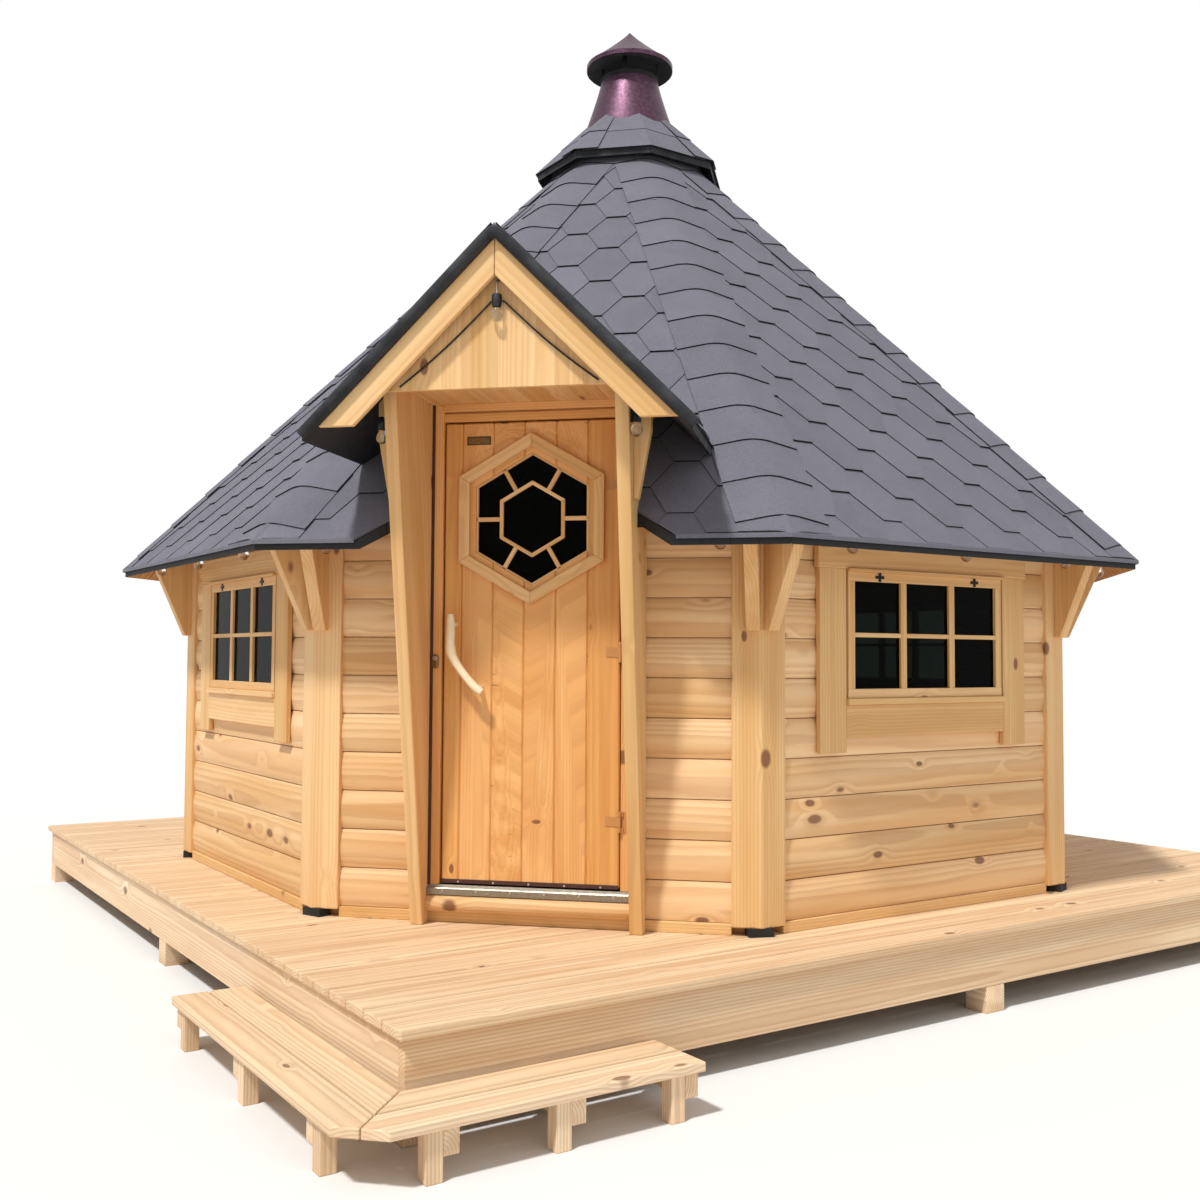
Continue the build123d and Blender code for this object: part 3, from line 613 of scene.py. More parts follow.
def dress(node, finish, slot, bevel, turn=None):
    # the node's own shape with softened edges, each solid with grain along its longest edge
    bm = nodeMesh(node)
    bmesh.ops.dissolve_limit(bm, angle_limit=math.radians(.5), verts=bm.verts, edges=bm.edges)
    bm.verts.layers.float_vector.new("grain")
    bm.verts.layers.float.new("tone")
    dice = random.Random(node)
    for group in islands(bm):
        middle = sum((vert.co for vert in group), Vector()) / len(group)
        wall = turn if turn is not None else round(math.atan2(middle.x, -middle.y) / wallTurn)
        local = wallPlace(wall).to_3x3()
        edges = [edge for vert in group for edge in vert.link_edges]
        longest = max(edges, key=lambda edge: edge.calc_length())
        along = (longest.verts[1].co - longest.verts[0].co).normalized()
        sides = [local @ axis for axis in axes.values()]
        sides = [(side - along * side.dot(along)).normalized() for side in sides if abs(side.dot(along)) < .8]
        reach = []
        for side in sides:
            spots = [vert.co.dot(side) for vert in group]
            reach.append(max(spots) - min(spots))
        thin = sides[reach.index(min(reach))]
        setGrain(bm, [(vert, vert.co) for vert in group], middle, (along, thin.cross(along), thin), dice)
    first, *others = node.split("_")
    name = first + "".join(word.capitalize() for word in others)
    finishPiece(name, bm, finish, slot, [node], bevel=bevel)


# Geometry Nodes
def buildFieldTree():
    # pieces in courses, every second course moved by a share of a period, each piece with a tone of its own
    tree = bpy.data.node_groups.new("pieceField", "GeometryNodeTree")
    kinds = {"Piece": "Object", "Columns": "Int", "Rows": "Int", "Seed": "Int", "Period": "Float",
             "Rise": "Float", "Shift": "Float", "Start": "Vector", "Finish": "Material"}
    for label, kind in kinds.items():
        addSocket(tree, "INPUT", kind, label)
    addSocket(tree, "OUTPUT", "Geometry", "Geometry")
    source, target = groupEnds(tree)
    total = calc(tree, "MULTIPLY", source["Columns"], source["Rows"])
    line = addNode(tree, "GeometryNodeMeshLine", {"Count": total, "Offset": (0, 0, 0)})
    index = addNode(tree, "GeometryNodeInputIndex").outputs[0]
    row = calc(tree, "FLOOR", calc(tree, "DIVIDE", index, source["Columns"]))
    column = calc(tree, "SUBTRACT", index, calc(tree, "MULTIPLY", row, source["Columns"]))
    odd = calc(tree, "MULTIPLY", calc(tree, "MODULO", row, 2.0), source["Shift"])
    across = calc(tree, "MULTIPLY", calc(tree, "ADD", column, odd), source["Period"])
    up = calc(tree, "MULTIPLY", row, source["Rise"])
    spot = addNode(tree, "ShaderNodeCombineXYZ", {0: across, 1: up}).outputs[0]
    spot = addNode(tree, "ShaderNodeVectorMath", {0: spot, 1: source["Start"]}, operation="ADD").outputs[0]
    points = addNode(tree, "GeometryNodeMeshToPoints", {"Mesh": line.outputs[0]})
    points = addNode(tree, "GeometryNodeSetPosition", {"Geometry": points.outputs[0], "Position": spot})
    piece = addNode(tree, "GeometryNodeObjectInfo", {"Object": source["Piece"]}).outputs["Geometry"]
    spread = addNode(tree, "GeometryNodeInstanceOnPoints", {"Points": points.outputs[0], "Instance": piece})
    reach = {2: -1.0, 3: 1.0, "Seed": source["Seed"]}
    dice = addNode(tree, "FunctionNodeRandomValue", reach, data_type="FLOAT")
    tone = {"Geometry": spread.outputs[0], "Name": "tone", "Value": dice.outputs[1]}
    store = addNode(tree, "GeometryNodeStoreNamedAttribute", tone, data_type="FLOAT", domain="INSTANCE")
    real = addNode(tree, "GeometryNodeRealizeInstances", {"Geometry": store.outputs[0]})
    finish = {"Geometry": real.outputs[0], "Material": source["Finish"]}
    tree.links.new(addNode(tree, "GeometryNodeSetMaterial", finish).outputs[0], target["Geometry"])
    return tree


fieldTree = buildFieldTree()


def grow(sample, finish, values):
    # runs the tree on an empty mesh and gives back the plain result
    holder = newPiece("grown", bmesh.new())
    modifier = holder.modifiers.new("nodes", "NODES")
    modifier.node_group = fieldTree
    sockets = {item.name: item.identifier for item in fieldTree.interface.items_tree}
    for label, value in {"Piece": sample, "Finish": finish, **values}.items():
        modifier[sockets[label]] = value
    holder.update_tag()
    settle(holder)
    bm = bmesh.new()
    bm.from_mesh(holder.data)
    for done in (sample, holder):
        bpy.data.objects.remove(done)
    return bm


print("helpers and tree made")


# Log walls
logs = {"pitch": .145, "bow": .011, "gap": .004, "bite": .012, "arcSteps": 10, "jitter": .0012}
wallNames = {"front": ["door_wall_left", "door_wall_right"], "frontRight": ["front_right_wall"],
             "right": ["right_wall"], "backRight": ["back_right_wall"], "back": ["back_wall"],
             "backLeft": ["back_left_wall"], "left": ["left_wall"], "frontLeft": ["front_left_wall"]}


def logOutline(low, dice):
    # flat inside, bowed outside, with a small step at each joint
    bottom, top = low + logs["gap"] / 2, low + logs["pitch"] - logs["gap"] / 2
    side = logFace - logs["bow"]
    joint = -(side - logs["bite"])
    steps = logs["arcSteps"]
    proud = dice.uniform(-logs["jitter"], 0)
    points = [(-innerFace, low), (joint, low), (joint, bottom)]
    for step in range(steps + 1):
        share = step / steps
        bow = logs["bow"] * (1 - (2 * share - 1) ** 2)
        points.append((-(side + bow) - proud, bottom + (logs["pitch"] - logs["gap"]) * share))
    return points + [(joint, top), (joint, low + logs["pitch"]), (-innerFace, low + logs["pitch"])]


def addLog(bm, low, left, right, dice, place, hole=None):
    # hole is the height range that a window takes out of this log
    outline = [Vector((left, y, z)) for y, z in logOutline(low, dice)]
    target = newTimber() if hole else bm
    addPrism(target, outline, axes["x"] * (right - left), axes["x"], axes["z"], dice, None if hole else place)
    if hole:
        bmesh.ops.recalc_face_normals(target, faces=target.faces)
        above = hole[0] > low
        cutPlane(target, (0, 0, hole[0] if above else hole[1]), (0, 0, 1 if above else -1))
        target.transform(place)
        joinMesh(bm, target)


def makeLogWall(name, wall, spans, hole=None):
    bm = newTimber()
    dice = random.Random(wall * 31 + 7)
    turned = wallPlace(wall)
    for left, right in spans:
        for row in range(round((wallTop - wallFoot) / logs["pitch"])):
            low = wallFoot + row * logs["pitch"]
            high = low + logs["pitch"]
            if hole and low < hole[1].z and high > hole[0].z:
                addLog(bm, low, left, hole[0].x, dice, turned)
                addLog(bm, low, hole[1].x, right, dice, turned)
                if low < hole[0].z or high > hole[1].z:
                    addLog(bm, low, hole[0].x, hole[1].x, dice, turned, (hole[0].z, hole[1].z))
            else:
                addLog(bm, low, left, right, dice, turned)
    finishPiece(name + "Logs", bm, logFinish, "log_pine", wallNames[name], smoothAngle=30)


windowHole = wallBox("window_linings", 1)
makeLogWall("front", 0, [(-wallHalf, -frameHalf), (frameHalf, wallHalf)])
for wallNumber, wallName in list(enumerate(wallNames))[1:]:
    hole = windowHole if wallNumber in windowWalls else None
    makeLogWall(wallName, wallNumber, [(-wallHalf, wallHalf)], hole)
print("log walls made")


# Posts, brackets, frames and deck timbers keep the shape of their nodes
softEdges = {"corner_posts": .005, "eave_brackets": .003, "wall_plates": .002, "base_strips": .003,
             "barge_boards": .003, "porch_cheeks": .004, "cheek_brackets": .003}
for node, bevel in softEdges.items():
    dress(node, trimFinish, "trim_pine", bevel)
dress("door_sill", logFinish, "log_pine", .002)
for node in ("door_jambs", "door_stops"):
    dress(node, doorFinish, "door_pine", .003)
for node in ("deck_feet", "deck_joists", "rim_boards", "side_rim_boards", "step_bearers", "step_posts"):
    dress(node, deckFinish, "deck_timber", .003, turn=1)
dress("step_treads", deckFinish, "deck_timber", .004)
print("frames and posts made")


# Windows
window = {"rail": .035, "barWide": .032, "barPlace": .137, "barThin": .017, "barDeep": .012, "dripRise": .012,
          "dripProud": .016, "dripSide": .006, "bevel": .002}
windowHinge = {"wide": .044, "upright": .013, "bar": .011}


def addFrame(bm, low, high, rail, dice, place):
    # uprights between a bottom and a top rail
    for foot, top in ((low.z, low.z + rail), (high.z - rail, high.z)):
        addBox(bm, (low.x, low.y, foot), (high.x, high.y, top), "x", dice, place)
    for left in (low.x, high.x - rail):
        addBox(bm, (left, low.y, low.z + rail), (left + rail, high.y, high.z - rail), "z", dice, place)


def makeWindows():
    sashes, linings, bars = newTimber(), newTimber(), newTimber()
    dice = random.Random(71)
    around, sash, (low, high) = (wallBox("window_" + name, 1) for name in ("linings", "sashes", "glass"))
    wide, thin, side = window["barWide"] / 2, window["barThin"] / 2, window["dripSide"]
    uprights = [(x - wide, x + wide) for x in (-window["barPlace"], window["barPlace"])]
    edges = [low.x, *uprights[0], *uprights[1], -low.x]
    middle = (low.z + high.z) / 2
    for wall in windowWalls:
        turned = wallPlace(wall)
        addFrame(linings, *around, sash[0].x - around[0].x, dice, turned)
        addFrame(sashes, *sash, window["rail"], dice, turned)
        for near in (low.y - window["barDeep"], high.y):
            far = near + window["barDeep"]
            for left, right in uprights:
                addBox(bars, (left, near, low.z), (right, far, high.z), "z", dice, turned)
            for left, right in zip(edges[::2], edges[1::2]):
                addBox(bars, (left, near, middle - thin), (right, far, middle + thin), "x", dice, turned)
        drip = (sash[0].x - side, sash[0].y - window["dripProud"], sash[1].z)
        addBox(bars, drip, (sash[1].x + side, -logFace, sash[1].z + window["dripRise"]), "x", dice, turned)
    for name, bm, replaced in (("windowLinings", linings, ["window_linings"]),
                               ("windowSashes", sashes, ["window_sashes"]), ("windowBars", bars, [])):
        finishPiece(name, bm, trimFinish, "trim_pine", replaced, bevel=window["bevel"])


def makeWindowHinges():
    # a flat cross at each hinge
    low, high = wallBox("window_hinges", 1)
    middle = (low.z + high.z) / 2
    half, thin = windowHinge["upright"] / 2, windowHinge["bar"] / 2
    dice = random.Random(8)
    bm = newTimber()
    for wall in windowWalls:
        turned = wallPlace(wall)
        for left in (low.x, high.x - windowHinge["wide"]):
            centre = left + windowHinge["wide"] / 2
            addBox(bm, (centre - half, low.y, low.z), (centre + half, high.y, high.z), "z", dice, turned)
            for start, stop in ((left, centre - half), (centre + half, left + windowHinge["wide"])):
                addBox(bm, (start, low.y, middle - thin), (stop, high.y, middle + thin), "x", dice, turned)
    finishPiece("windowHinges", bm, ironFinish, "black_iron", ["window_hinges"])


makeWindows()
makeWindowHinges()
dress("window_trim", trimFinish, "trim_pine", .003)
refinish(ironFinish, "hat_stays")
# both kinds of pane take the glass with the painted shade of the room behind
refinish(windowGlass, "window_glass", "door_glass")
print("windows made")


# Door
door = {"firstJoint": -.269, "pitch": .1205, "lastBoard": .02, "gap": .0003, "groove": .005, "barWidth": .016,
        "barDeep": .012, "inner": .1355, "bead": .009, "beadDeep": .012, "rebate": .024}
doorHead = {"levels": (0, .030, .037), "proud": (-.003, -.014, .006)}
threshold = {"lip": ((0, .012), (.003, .008), (.016, .008), (.019, 0), (.025, 0), (.028, .008)), "screws": 6}
seals = {"wide": .012, "proud": .003, "foot": .015, "side": .002, "screwRise": .015, "screw": .0045,
         "head": .003, "footScrews": 5, "footRise": .4}
plate = {"inset": .005, "proud": .0008}
lock = {"half": .013, "rise": .027, "thick": .005, "barrel": .0085, "barrelRise": .011, "slotHalf": .0011,
        "barrelEnds": (.001, -.003, -.004), "slotRise": .0045, "slotEnds": (.0044, .0035)}
trimLow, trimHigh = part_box("door_window_trim")
hexMiddle = (trimLow + trimHigh) / 2
hexOuter = (trimHigh.z - trimLow.z) / 2
paneLow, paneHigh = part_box("door_glass")
hexHole = (paneHigh.z - paneLow.z) / 2


def hexPoint(radius, corner, y):
    angle = math.pi / 3 * corner
    return Vector((radius * math.sin(angle), y, hexMiddle.z + radius * math.cos(angle)))


def addHexBar(bm, inner, outer, corner, near, deep, dice):
    # one mitred bar between two hexagons
    outline = [hexPoint(radius, corner + step, near)
               for radius, step in ((inner, 0), (inner, 1), (outer, 1), (outer, 0))]
    along = (outline[1] - outline[0]).normalized()
    addPrism(bm, outline, axes["y"] * deep, along, along.cross(axes["y"]), dice)


def makeLeaf(dice):
    low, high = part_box("door_leaf")
    boards = newTimber()
    edges = [low.x]
    joint = door["firstJoint"]
    while joint < high.x - door["lastBoard"]:
        edges.append(joint)
        joint += door["pitch"]
    edges.append(high.x)
    for left, right in zip(edges, edges[1:]):
        addBox(boards, (left + door["gap"], low.y, low.z), (right - door["gap"], high.y, high.z), "z", dice)
    bmesh.ops.recalc_face_normals(boards, faces=boards.faces)
    leaf = bevelled(newPiece("doorLeaf", boards, doorFinish), door["groove"], 1)
    cutter = bmesh.new()
    ends = (low.y - .1, high.y + .1)
    closeLoops(cutter, *([hexPoint(hexHole, corner, y) for corner in range(6)] for y in ends))
    hole = newPiece("doorHole", cutter)
    cut = leaf.modifiers.new("hole", "BOOLEAN")
    cut.object = hole
    cut.operation = "DIFFERENCE"
    cut.solver = "EXACT"
    settle(leaf)
    bpy.data.objects.remove(hole)
    handOver(leaf, ["door_leaf"], "door")


def makeDoorWindow(dice):
    trim, bars = newTimber(), newTimber()
    for corner in range(6):
        addHexBar(trim, hexHole + door["rebate"], hexOuter, corner, trimLow.y, trimHigh.y - trimLow.y, dice)
    finishPiece("doorWindowTrim", trim, trimFinish, "door_pine", ["door_window_trim"], "door", .003)
    # a slim bead holds the pane on both faces
    for near in (paneLow.y - door["beadDeep"], paneHigh.y):
        for corner in range(6):
            addHexBar(bars, hexHole - door["bead"], hexHole, corner, near, door["beadDeep"], dice)
    half, upright = door["barWidth"] / 2, math.cos(math.pi / 6)
    reaches = (door["inner"] + half, hexHole)
    for near in (paneLow.y - door["barDeep"], paneHigh.y):
        for corner in range(6):
            addHexBar(bars, door["inner"] - half, door["inner"] + half, corner, near, door["barDeep"], dice)
            start, stop = (hexPoint(radius * upright, corner + .5, near) for radius in reaches)
            out = (stop - start).normalized()
            side = out.cross(axes["y"]) * half
            outline = [start - side, stop - side, stop + side, start + side]
            addPrism(bars, outline, axes["y"] * door["barDeep"], out, side.normalized(), dice)
    finishPiece("doorWindowBars", bars, trimFinish, "door_pine", body="door", bevel=.002)


def makeDoorHead():
    # two boards with a groove between them, the upper one further out
    low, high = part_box("door_head")
    heights = [low.z + level for level in doorHead["levels"]] + [high.z]
    boxes = [((low.x, low.y - proud, foot), (high.x, high.y, top))
             for foot, top, proud in zip(heights, heights[1:], doorHead["proud"])]
    makeBoxes("doorHead", boxes, "x", random.Random(44), doorFinish, "door_pine", ["door_head"], bevel=.0015)


def makeScrews(name, left, right, count, face, height, body="cabin"):
    # a row of screw heads on an upright face
    bm = bmesh.new()
    for number in range(count):
        spot = (left + (right - left) * (number + .5) / count, face - seals["head"] / 2, height)
        turned = Matrix.Translation(spot) @ Matrix.Rotation(math.pi / 2, 4, "X")
        bmesh.ops.create_cone(bm, cap_ends=True, segments=14, depth=seals["head"], matrix=turned,
                              radius1=seals["screw"], radius2=seals["screw"] * .75)
    finishPiece(name, bm, screwFinish, "sill_metal", body=body)


def makeThreshold():
    # a metal bar with a raised lip, and screws along it
    low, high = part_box("door_threshold")
    bm = bmesh.new()
    outline = [(high.y, low.z), (low.y, low.z)]
    outline += [(low.y + run, high.z - drop) for run, drop in threshold["lip"]]
    outline.append((high.y, high.z - threshold["lip"][-1][1]))
    closeLoops(bm, *([(x, y, z) for y, z in outline] for x in (low.x, high.x)))
    finishPiece("doorThreshold", bm, sillFinish, "sill_metal", ["door_threshold"])
    makeScrews("thresholdScrews", low.x, high.x, threshold["screws"], low.y, low.z + seals["screwRise"])


def makeSealsAndGapShadows():
    # dark strips beside the jambs, painted shadow of the gap there, and a dark seal along the foot of the
    # leaf
    dice = random.Random(17)
    low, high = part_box("door_jambs")
    strips = [((near, low.y - seals["proud"], low.z), (far, low.y, high.z))
              for near, far in ((low.x, low.x + seals["wide"]), (high.x - seals["wide"], high.x))]
    makeBoxes("jambSeals", strips, "z", dice, sealAndGapShadowPaint, "light_rubber", bevel=.001)
    low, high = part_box("door_leaf")
    face = low.y - seals["proud"]
    foot = (low.x + seals["side"], face, low.z), (high.x - seals["side"], low.y, low.z + seals["foot"])
    makeBoxes("leafSeal", [foot], "x", dice, sealAndGapShadowPaint, "light_rubber", body="door", bevel=.001)
    rise = seals["foot"] * seals["footRise"]
    makeScrews("leafSealScrews", low.x, high.x, seals["footScrews"], face, low.z + rise, "door")


def makeLock():
    # a long plate with round ends, and a barrel with its key slot
    low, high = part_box("door_lock")
    middle = (low + high) / 2
    bm = newTimber()
    outline = []
    for end in (1, -1):
        for step in range(13):
            turn = math.pi * step / 12
            across = end * lock["half"] * math.cos(turn)
            height = end * (lock["rise"] - lock["half"] + lock["half"] * math.sin(turn))
            outline.append(Vector((middle.x + across, high.y, middle.z + height)))
    addPrism(bm, outline, axes["y"] * -lock["thick"], axes["z"], axes["x"], random.Random(2))
    finishPiece("doorLock", bm, plateFinish, "plate_metal", ["door_lock"], bevel=.0015, smoothAngle=40)
    barrel = bmesh.new()
    spot = Vector((middle.x, high.y - lock["thick"], middle.z + lock["barrelRise"]))
    ends = [spot + axes["y"] * end for end in lock["barrelEnds"]]
    addTube(barrel, ends, [lock["barrel"], lock["barrel"], lock["barrel"] * .88], 24)
    finishPiece("lockBarrel", barrel, screwFinish, "plate_metal", smoothAngle=40)
    half, rise = lock["slotHalf"], lock["slotRise"]
    near, far = (spot.y - end for end in lock["slotEnds"])
    slot = (spot.x - half, near, spot.z - rise), (spot.x + half, far, spot.z + rise)
    makeBoxes("lockSlot", [slot], "z", random.Random(3), ironFinish, "black_iron")


def makePlateFace():
    # the plate's blank face inside its dark edge
    low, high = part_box("door_plate")
    inset = Vector((plate["inset"], 0, plate["inset"]))
    face = low + inset - axes["y"] * plate["proud"], high - inset
    makeBoxes("plateFace", [face], "x", random.Random(4), plateFinish, "plate_metal", body="door")


handle = {"sides": 20, "standOff": .064, "pegRadius": .010, "pegs": (5, -5), "pegSink": .002, "steps": 4,
          "knot": .0016, "knotAt": 15, "knotWide": 2.2,
          "line": ((-.289, 1.449), (-.288, 1.420), (-.288, 1.385), (-.289, 1.340), (-.284, 1.305),
                   (-.271, 1.277), (-.252, 1.249), (-.231, 1.222), (-.209, 1.197), (-.188, 1.177),
                   (-.167, 1.162)),
          "radii": (.011, .0158, .0168, .0178, .018, .0162, .015, .0148, .0152, .0162, .0135)}


def makeHandle():
    # a bent branch held off the leaf by two pegs
    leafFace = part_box("door_leaf")[0].y
    coarse = [Vector((x, leafFace - handle["standOff"], z)) for x, z in handle["line"]]
    ends = coarse[:1] + coarse + coarse[-1:]
    path, radii = [], []
    for index, (first, here, after, last) in enumerate(zip(ends, ends[1:], ends[2:], ends[3:])):
        for step in range(handle["steps"]):
            t = step / handle["steps"]
            square = (first * 2 - here * 5 + after * 4 - last) * t * t
            cube = (here * 3 - first - after * 3 + last) * t ** 3
            path.append((here * 2 + (after - first) * t + square + cube) / 2)
            radii.append(handle["radii"][index] * (1 - t) + handle["radii"][index + 1] * t)
    path.append(coarse[-1])
    radii.append(handle["radii"][-1])
    for number in range(len(radii)):
        radii[number] += handle["knot"] * math.exp(-((number - handle["knotAt"]) / handle["knotWide"]) ** 2)
    branch = newTimber()
    addTube(branch, path, radii, handle["sides"])
    for spot in (path[number] for number in handle["pegs"]):
        reaches = [handle["pegSink"] * (step == 0) - step / 3 * handle["standOff"] for step in range(4)]
        peg = [Vector((spot.x, leafFace + reach, spot.z)) for reach in reaches]
        addTube(branch, peg, [handle["pegRadius"]] * 4, 14)
    finishPiece("doorHandle", branch, branchFinish, "peeled_branch", ["door_handle"], "door", 0, 50)


lightLine = {"radius": .0032, "sides": 10, "fall": .012, "end": (.345, 2.207), "leave": .011, "level": .012,
             "socket": .017, "low": 2.461, "high": 2.505, "standOff": .021, "hook": .0045, "sink": .006,
             "socketRings": ((0, .8), (.012, 1), (.040, 1), (.044, .8)),
             "hookLine": ((0, 2.503), (0, 2.543), (.004, 2.552), (.012, 2.555), (.023, 2.555))}


def makeLightStrings():
    # the sockets and eave lines of the node, with the gable's two lines drawn anew
    bm = nodeMesh("string_lights")
    near, far = (corner.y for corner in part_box("porch_gable"))
    old = []
    for group in islands(bm):
        low, high = boxOf([vert.co for vert in group])
        if high.y < far and high.x - low.x > .1:
            old += group
    bmesh.ops.delete(bm, geom=old, context="VERTS")
    depth, axis = near - lightLine["radius"], near - lightLine["standOff"]
    middle = (lightLine["low"] + lightLine["high"]) / 2
    for side in (-1, 1):
        start = Vector((side * (lightLine["leave"] + lightLine["level"]), depth - lightLine["sink"], middle))
        stop = Vector((side * lightLine["end"][0], depth, lightLine["end"][1]))
        path = [Vector((side * lightLine["leave"], axis, middle))]
        for step in range(17):
            share = step / 16
            path.append(start.lerp(stop, share) - axes["z"] * (lightLine["fall"] * math.sin(math.pi * share)))
        addTube(bm, path, [lightLine["radius"]] * len(path), lightLine["sides"])
    rings = lightLine["socketRings"]
    socket = [Vector((0, axis, lightLine["low"] + rise)) for rise, share in rings]
    addTube(bm, socket, [lightLine["socket"] * share for rise, share in rings], 24)
    finishPiece("stringLights", bm, rubberFinish, "light_rubber", ["string_lights"], smoothAngle=40)
    # a wire hook carries the socket
    wire = bmesh.new()
    hook = [Vector((0, axis + reach, height)) for reach, height in lightLine["hookLine"]]
    addTube(wire, hook, [lightLine["hook"]] * len(hook), 12)
    finishPiece("lightHook", wire, screwFinish, "sill_metal", smoothAngle=60)


doorDice = random.Random(12)
makeLeaf(doorDice)
makeDoorWindow(doorDice)
makeDoorHead()
makeThreshold()
makeSealsAndGapShadows()
makeLock()
makePlateFace()
makeHandle()
makeLightStrings()
refinish(plateEdge, "door_plate")
refinish(padFinish, "post_pads")
refinish(hingeFinish, "door_leaf_hinges", "door_frame_hinges")
refinish(feltFinish, "cap_collar", "cap_panels", "porch_roof")
refinish(bulbGlass, "light_bulbs")
print("door made")


# Porch boards
porch = {"boardPitch": .098, "groove": .003}


def makePorchBoards():
    dice = random.Random(5)
    low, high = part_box("porch_gable")
    gable = newTimber()
    pitch = porch["boardPitch"]
    count = math.ceil(high.x / pitch)
    for number in range(-count, count):
        left, right = max(number * pitch, low.x), min((number + 1) * pitch, high.x)
        tops = [(x, high.z - abs(x)) for x in (right, left) if high.z - abs(x) > low.z + 1e-4]
        outline = [Vector((x, low.y, z)) for x, z in [(left, low.z), (right, low.z)] + tops]
        addPrism(gable, outline, axes["y"] * (high.y - low.y), axes["z"], axes["x"], dice)
    finishPiece("porchGable", gable, trimFinish, "trim_pine", ["porch_gable"], bevel=porch["groove"])
    low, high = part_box("porch_ceiling")
    count = round((high.x - low.x) / pitch)
    pitch = (high.x - low.x) / count
    lefts = [low.x + number * pitch for number in range(count)]
    boxes = [((left, low.y, low.z), (left + pitch, high.y, high.z)) for left in lefts]
    makeBoxes("porchCeiling", boxes, "y", dice, trimFinish, "trim_pine", ["porch_ceiling"],
              bevel=porch["groove"])


makePorchBoards()
print("porch boards made")


# Deck and cabin floor
deck = {"boards": 38, "gap": .005, "bevel": .004}
cabinFloor = {"pitch": .098, "bevel": .003}


def growBoards(low, high, count, gap, bevel, finish, seed):
    # a row of boards, each cut from another place of its tree
    pitch = (high.y - low.y + gap) / count
    length, width, thick = high.x - low.x, pitch - gap, high.z - low.z
    board = newTimber()
    addBox(board, (-length / 2, -width / 2, -thick), (length / 2, width / 2, 0), "x", random.Random(1))
    bmesh.ops.recalc_face_normals(board, faces=board.faces)
    sample = bevelled(newPiece("sample", board), bevel)
    bm = grow(sample, finish, {"Columns": 1, "Rows": count, "Rise": pitch, "Seed": seed,
                               "Start": (0, low.y + width / 2, high.z)})
    grain = bm.verts.layers.float_vector["grain"]
    dice = random.Random(seed + 5)
    for group in islands(bm):
        cut = treeCut(dice, 0, .09)
        for vert in group:
            vert[grain] = Vector(vert[grain]) + cut
    return bm


def makeDeck():
    low, high = boxOf(turnedPoints("deck_boards", 1))
    bm = growBoards(low, high, deck["boards"], deck["gap"], deck["bevel"], deckFinish, 3)
    bm.transform(wallPlace(1))
    finishPiece("deckBoards", bm, deckFinish, "deck_timber", ["deck_boards"])


def makeFloorBoards():
    low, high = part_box("cabin_floor")
    count = round((high.y - low.y) / cabinFloor["pitch"])
    bm = growBoards(low, high, count, 0, cabinFloor["bevel"], trimFinish, 4)
    for wall in windowWalls:
        normal = wallPlace(wall) @ -axes["y"]
        cutPlane(bm, normal * high.y, normal)
    finishPiece("cabinFloor", bm, trimFinish, "trim_pine", ["cabin_floor"])


makeDeck()
makeFloorBoards()
print("deck and floor made")


# Roof shingles
roof = {"period": .333, "rise": .143, "flat": .095, "wide": .237, "long": .30, "thick": .005, "lift": .011,
        "top": .003, "overhang": .010, "firstCourse": .100, "hipGap": .035, "starter": .25, "drip": .016,
        "capHalf": .17, "capRise": .22, "capLong": .27, "capLift": .016, "capFold": .06, "footEdge": 1.7,
        "sideEdge": .8, "taper": .55, "notchOut": .13, "notchLean": .078}


def newShingleMesh():
    bm = bmesh.new()
    bm.faces.layers.float.new("rim")
    bm.verts.layers.float.new("tone")
    return bm


def tabSample():
    # one six-cornered tab, lifted at its lower edge, with dark cut edges
    bm = bmesh.new()
    rim = bm.faces.layers.float.new("rim")
    half, wide, rise, long = roof["flat"] / 2, roof["wide"] / 2, roof["rise"], roof["long"]
    outline = [(-half, 0), (half, 0), (wide, rise), (wide, long), (-wide, long), (-wide, rise)]
    fall = (roof["lift"] - roof["top"]) / long
    # the edge is deepest at the foot, where it shows as a bold line
    deep = [roof["thick"] * roof["footEdge" if y == 0 else "sideEdge"] for x, y in outline]
    top = [(x, y, roof["lift"] - y * fall) for x, y in outline]
    for face in closeLoops(bm, top, [(x, y, z - down) for (x, y, z), down in zip(top, deep)]):
        face[rim] = 1
    return newPiece("tab", bm)


def layShingles(bm, placed, width, length, cuts, seed):
    # courses over a slope: placed carries its own axes, across, up the slope and out, to where it lies
    period, rise = roof["period"], roof["rise"]
    columns, rows = math.ceil(width / period) + 2, math.ceil(length / rise) + 2
    start = (-columns / 2 * period + period * .25, roof["firstCourse"] - rise, 0)
    values = {"Columns": columns, "Rows": rows, "Period": period, "Rise": rise, "Shift": .5}
    field = grow(tabSample(), shingleFinish, {**values, "Start": start, "Seed": seed})
    field.transform(placed)
    joinMesh(bm, field, cuts)


def pitched(node, wall=4):
    # nearest and farthest apothem, height of the lower edge and slope of a ring of roof panels
    low, high = wallBox(node, wall)
    eave = max(point.z for point in turnedPoints(node, wall) if abs(point.y - low.y) < 1e-4)
    return -high.y, -low.y, eave, (high.z - eave) / (high.y - low.y)


def hipCuts(wall, gap):
    # keeps what lies between the two hips of a wall
    hips = [wallPlace(wall) @ Vector((side * math.cos(halfTurn), math.sin(halfTurn), 0)) for side in (-1, 1)]
    return [(hip * -gap, hip) for hip in hips]


def eaveCut(wall, far):
    out = wallPlace(wall) @ -axes["y"]
    return out * (far + roof["overhang"]), out


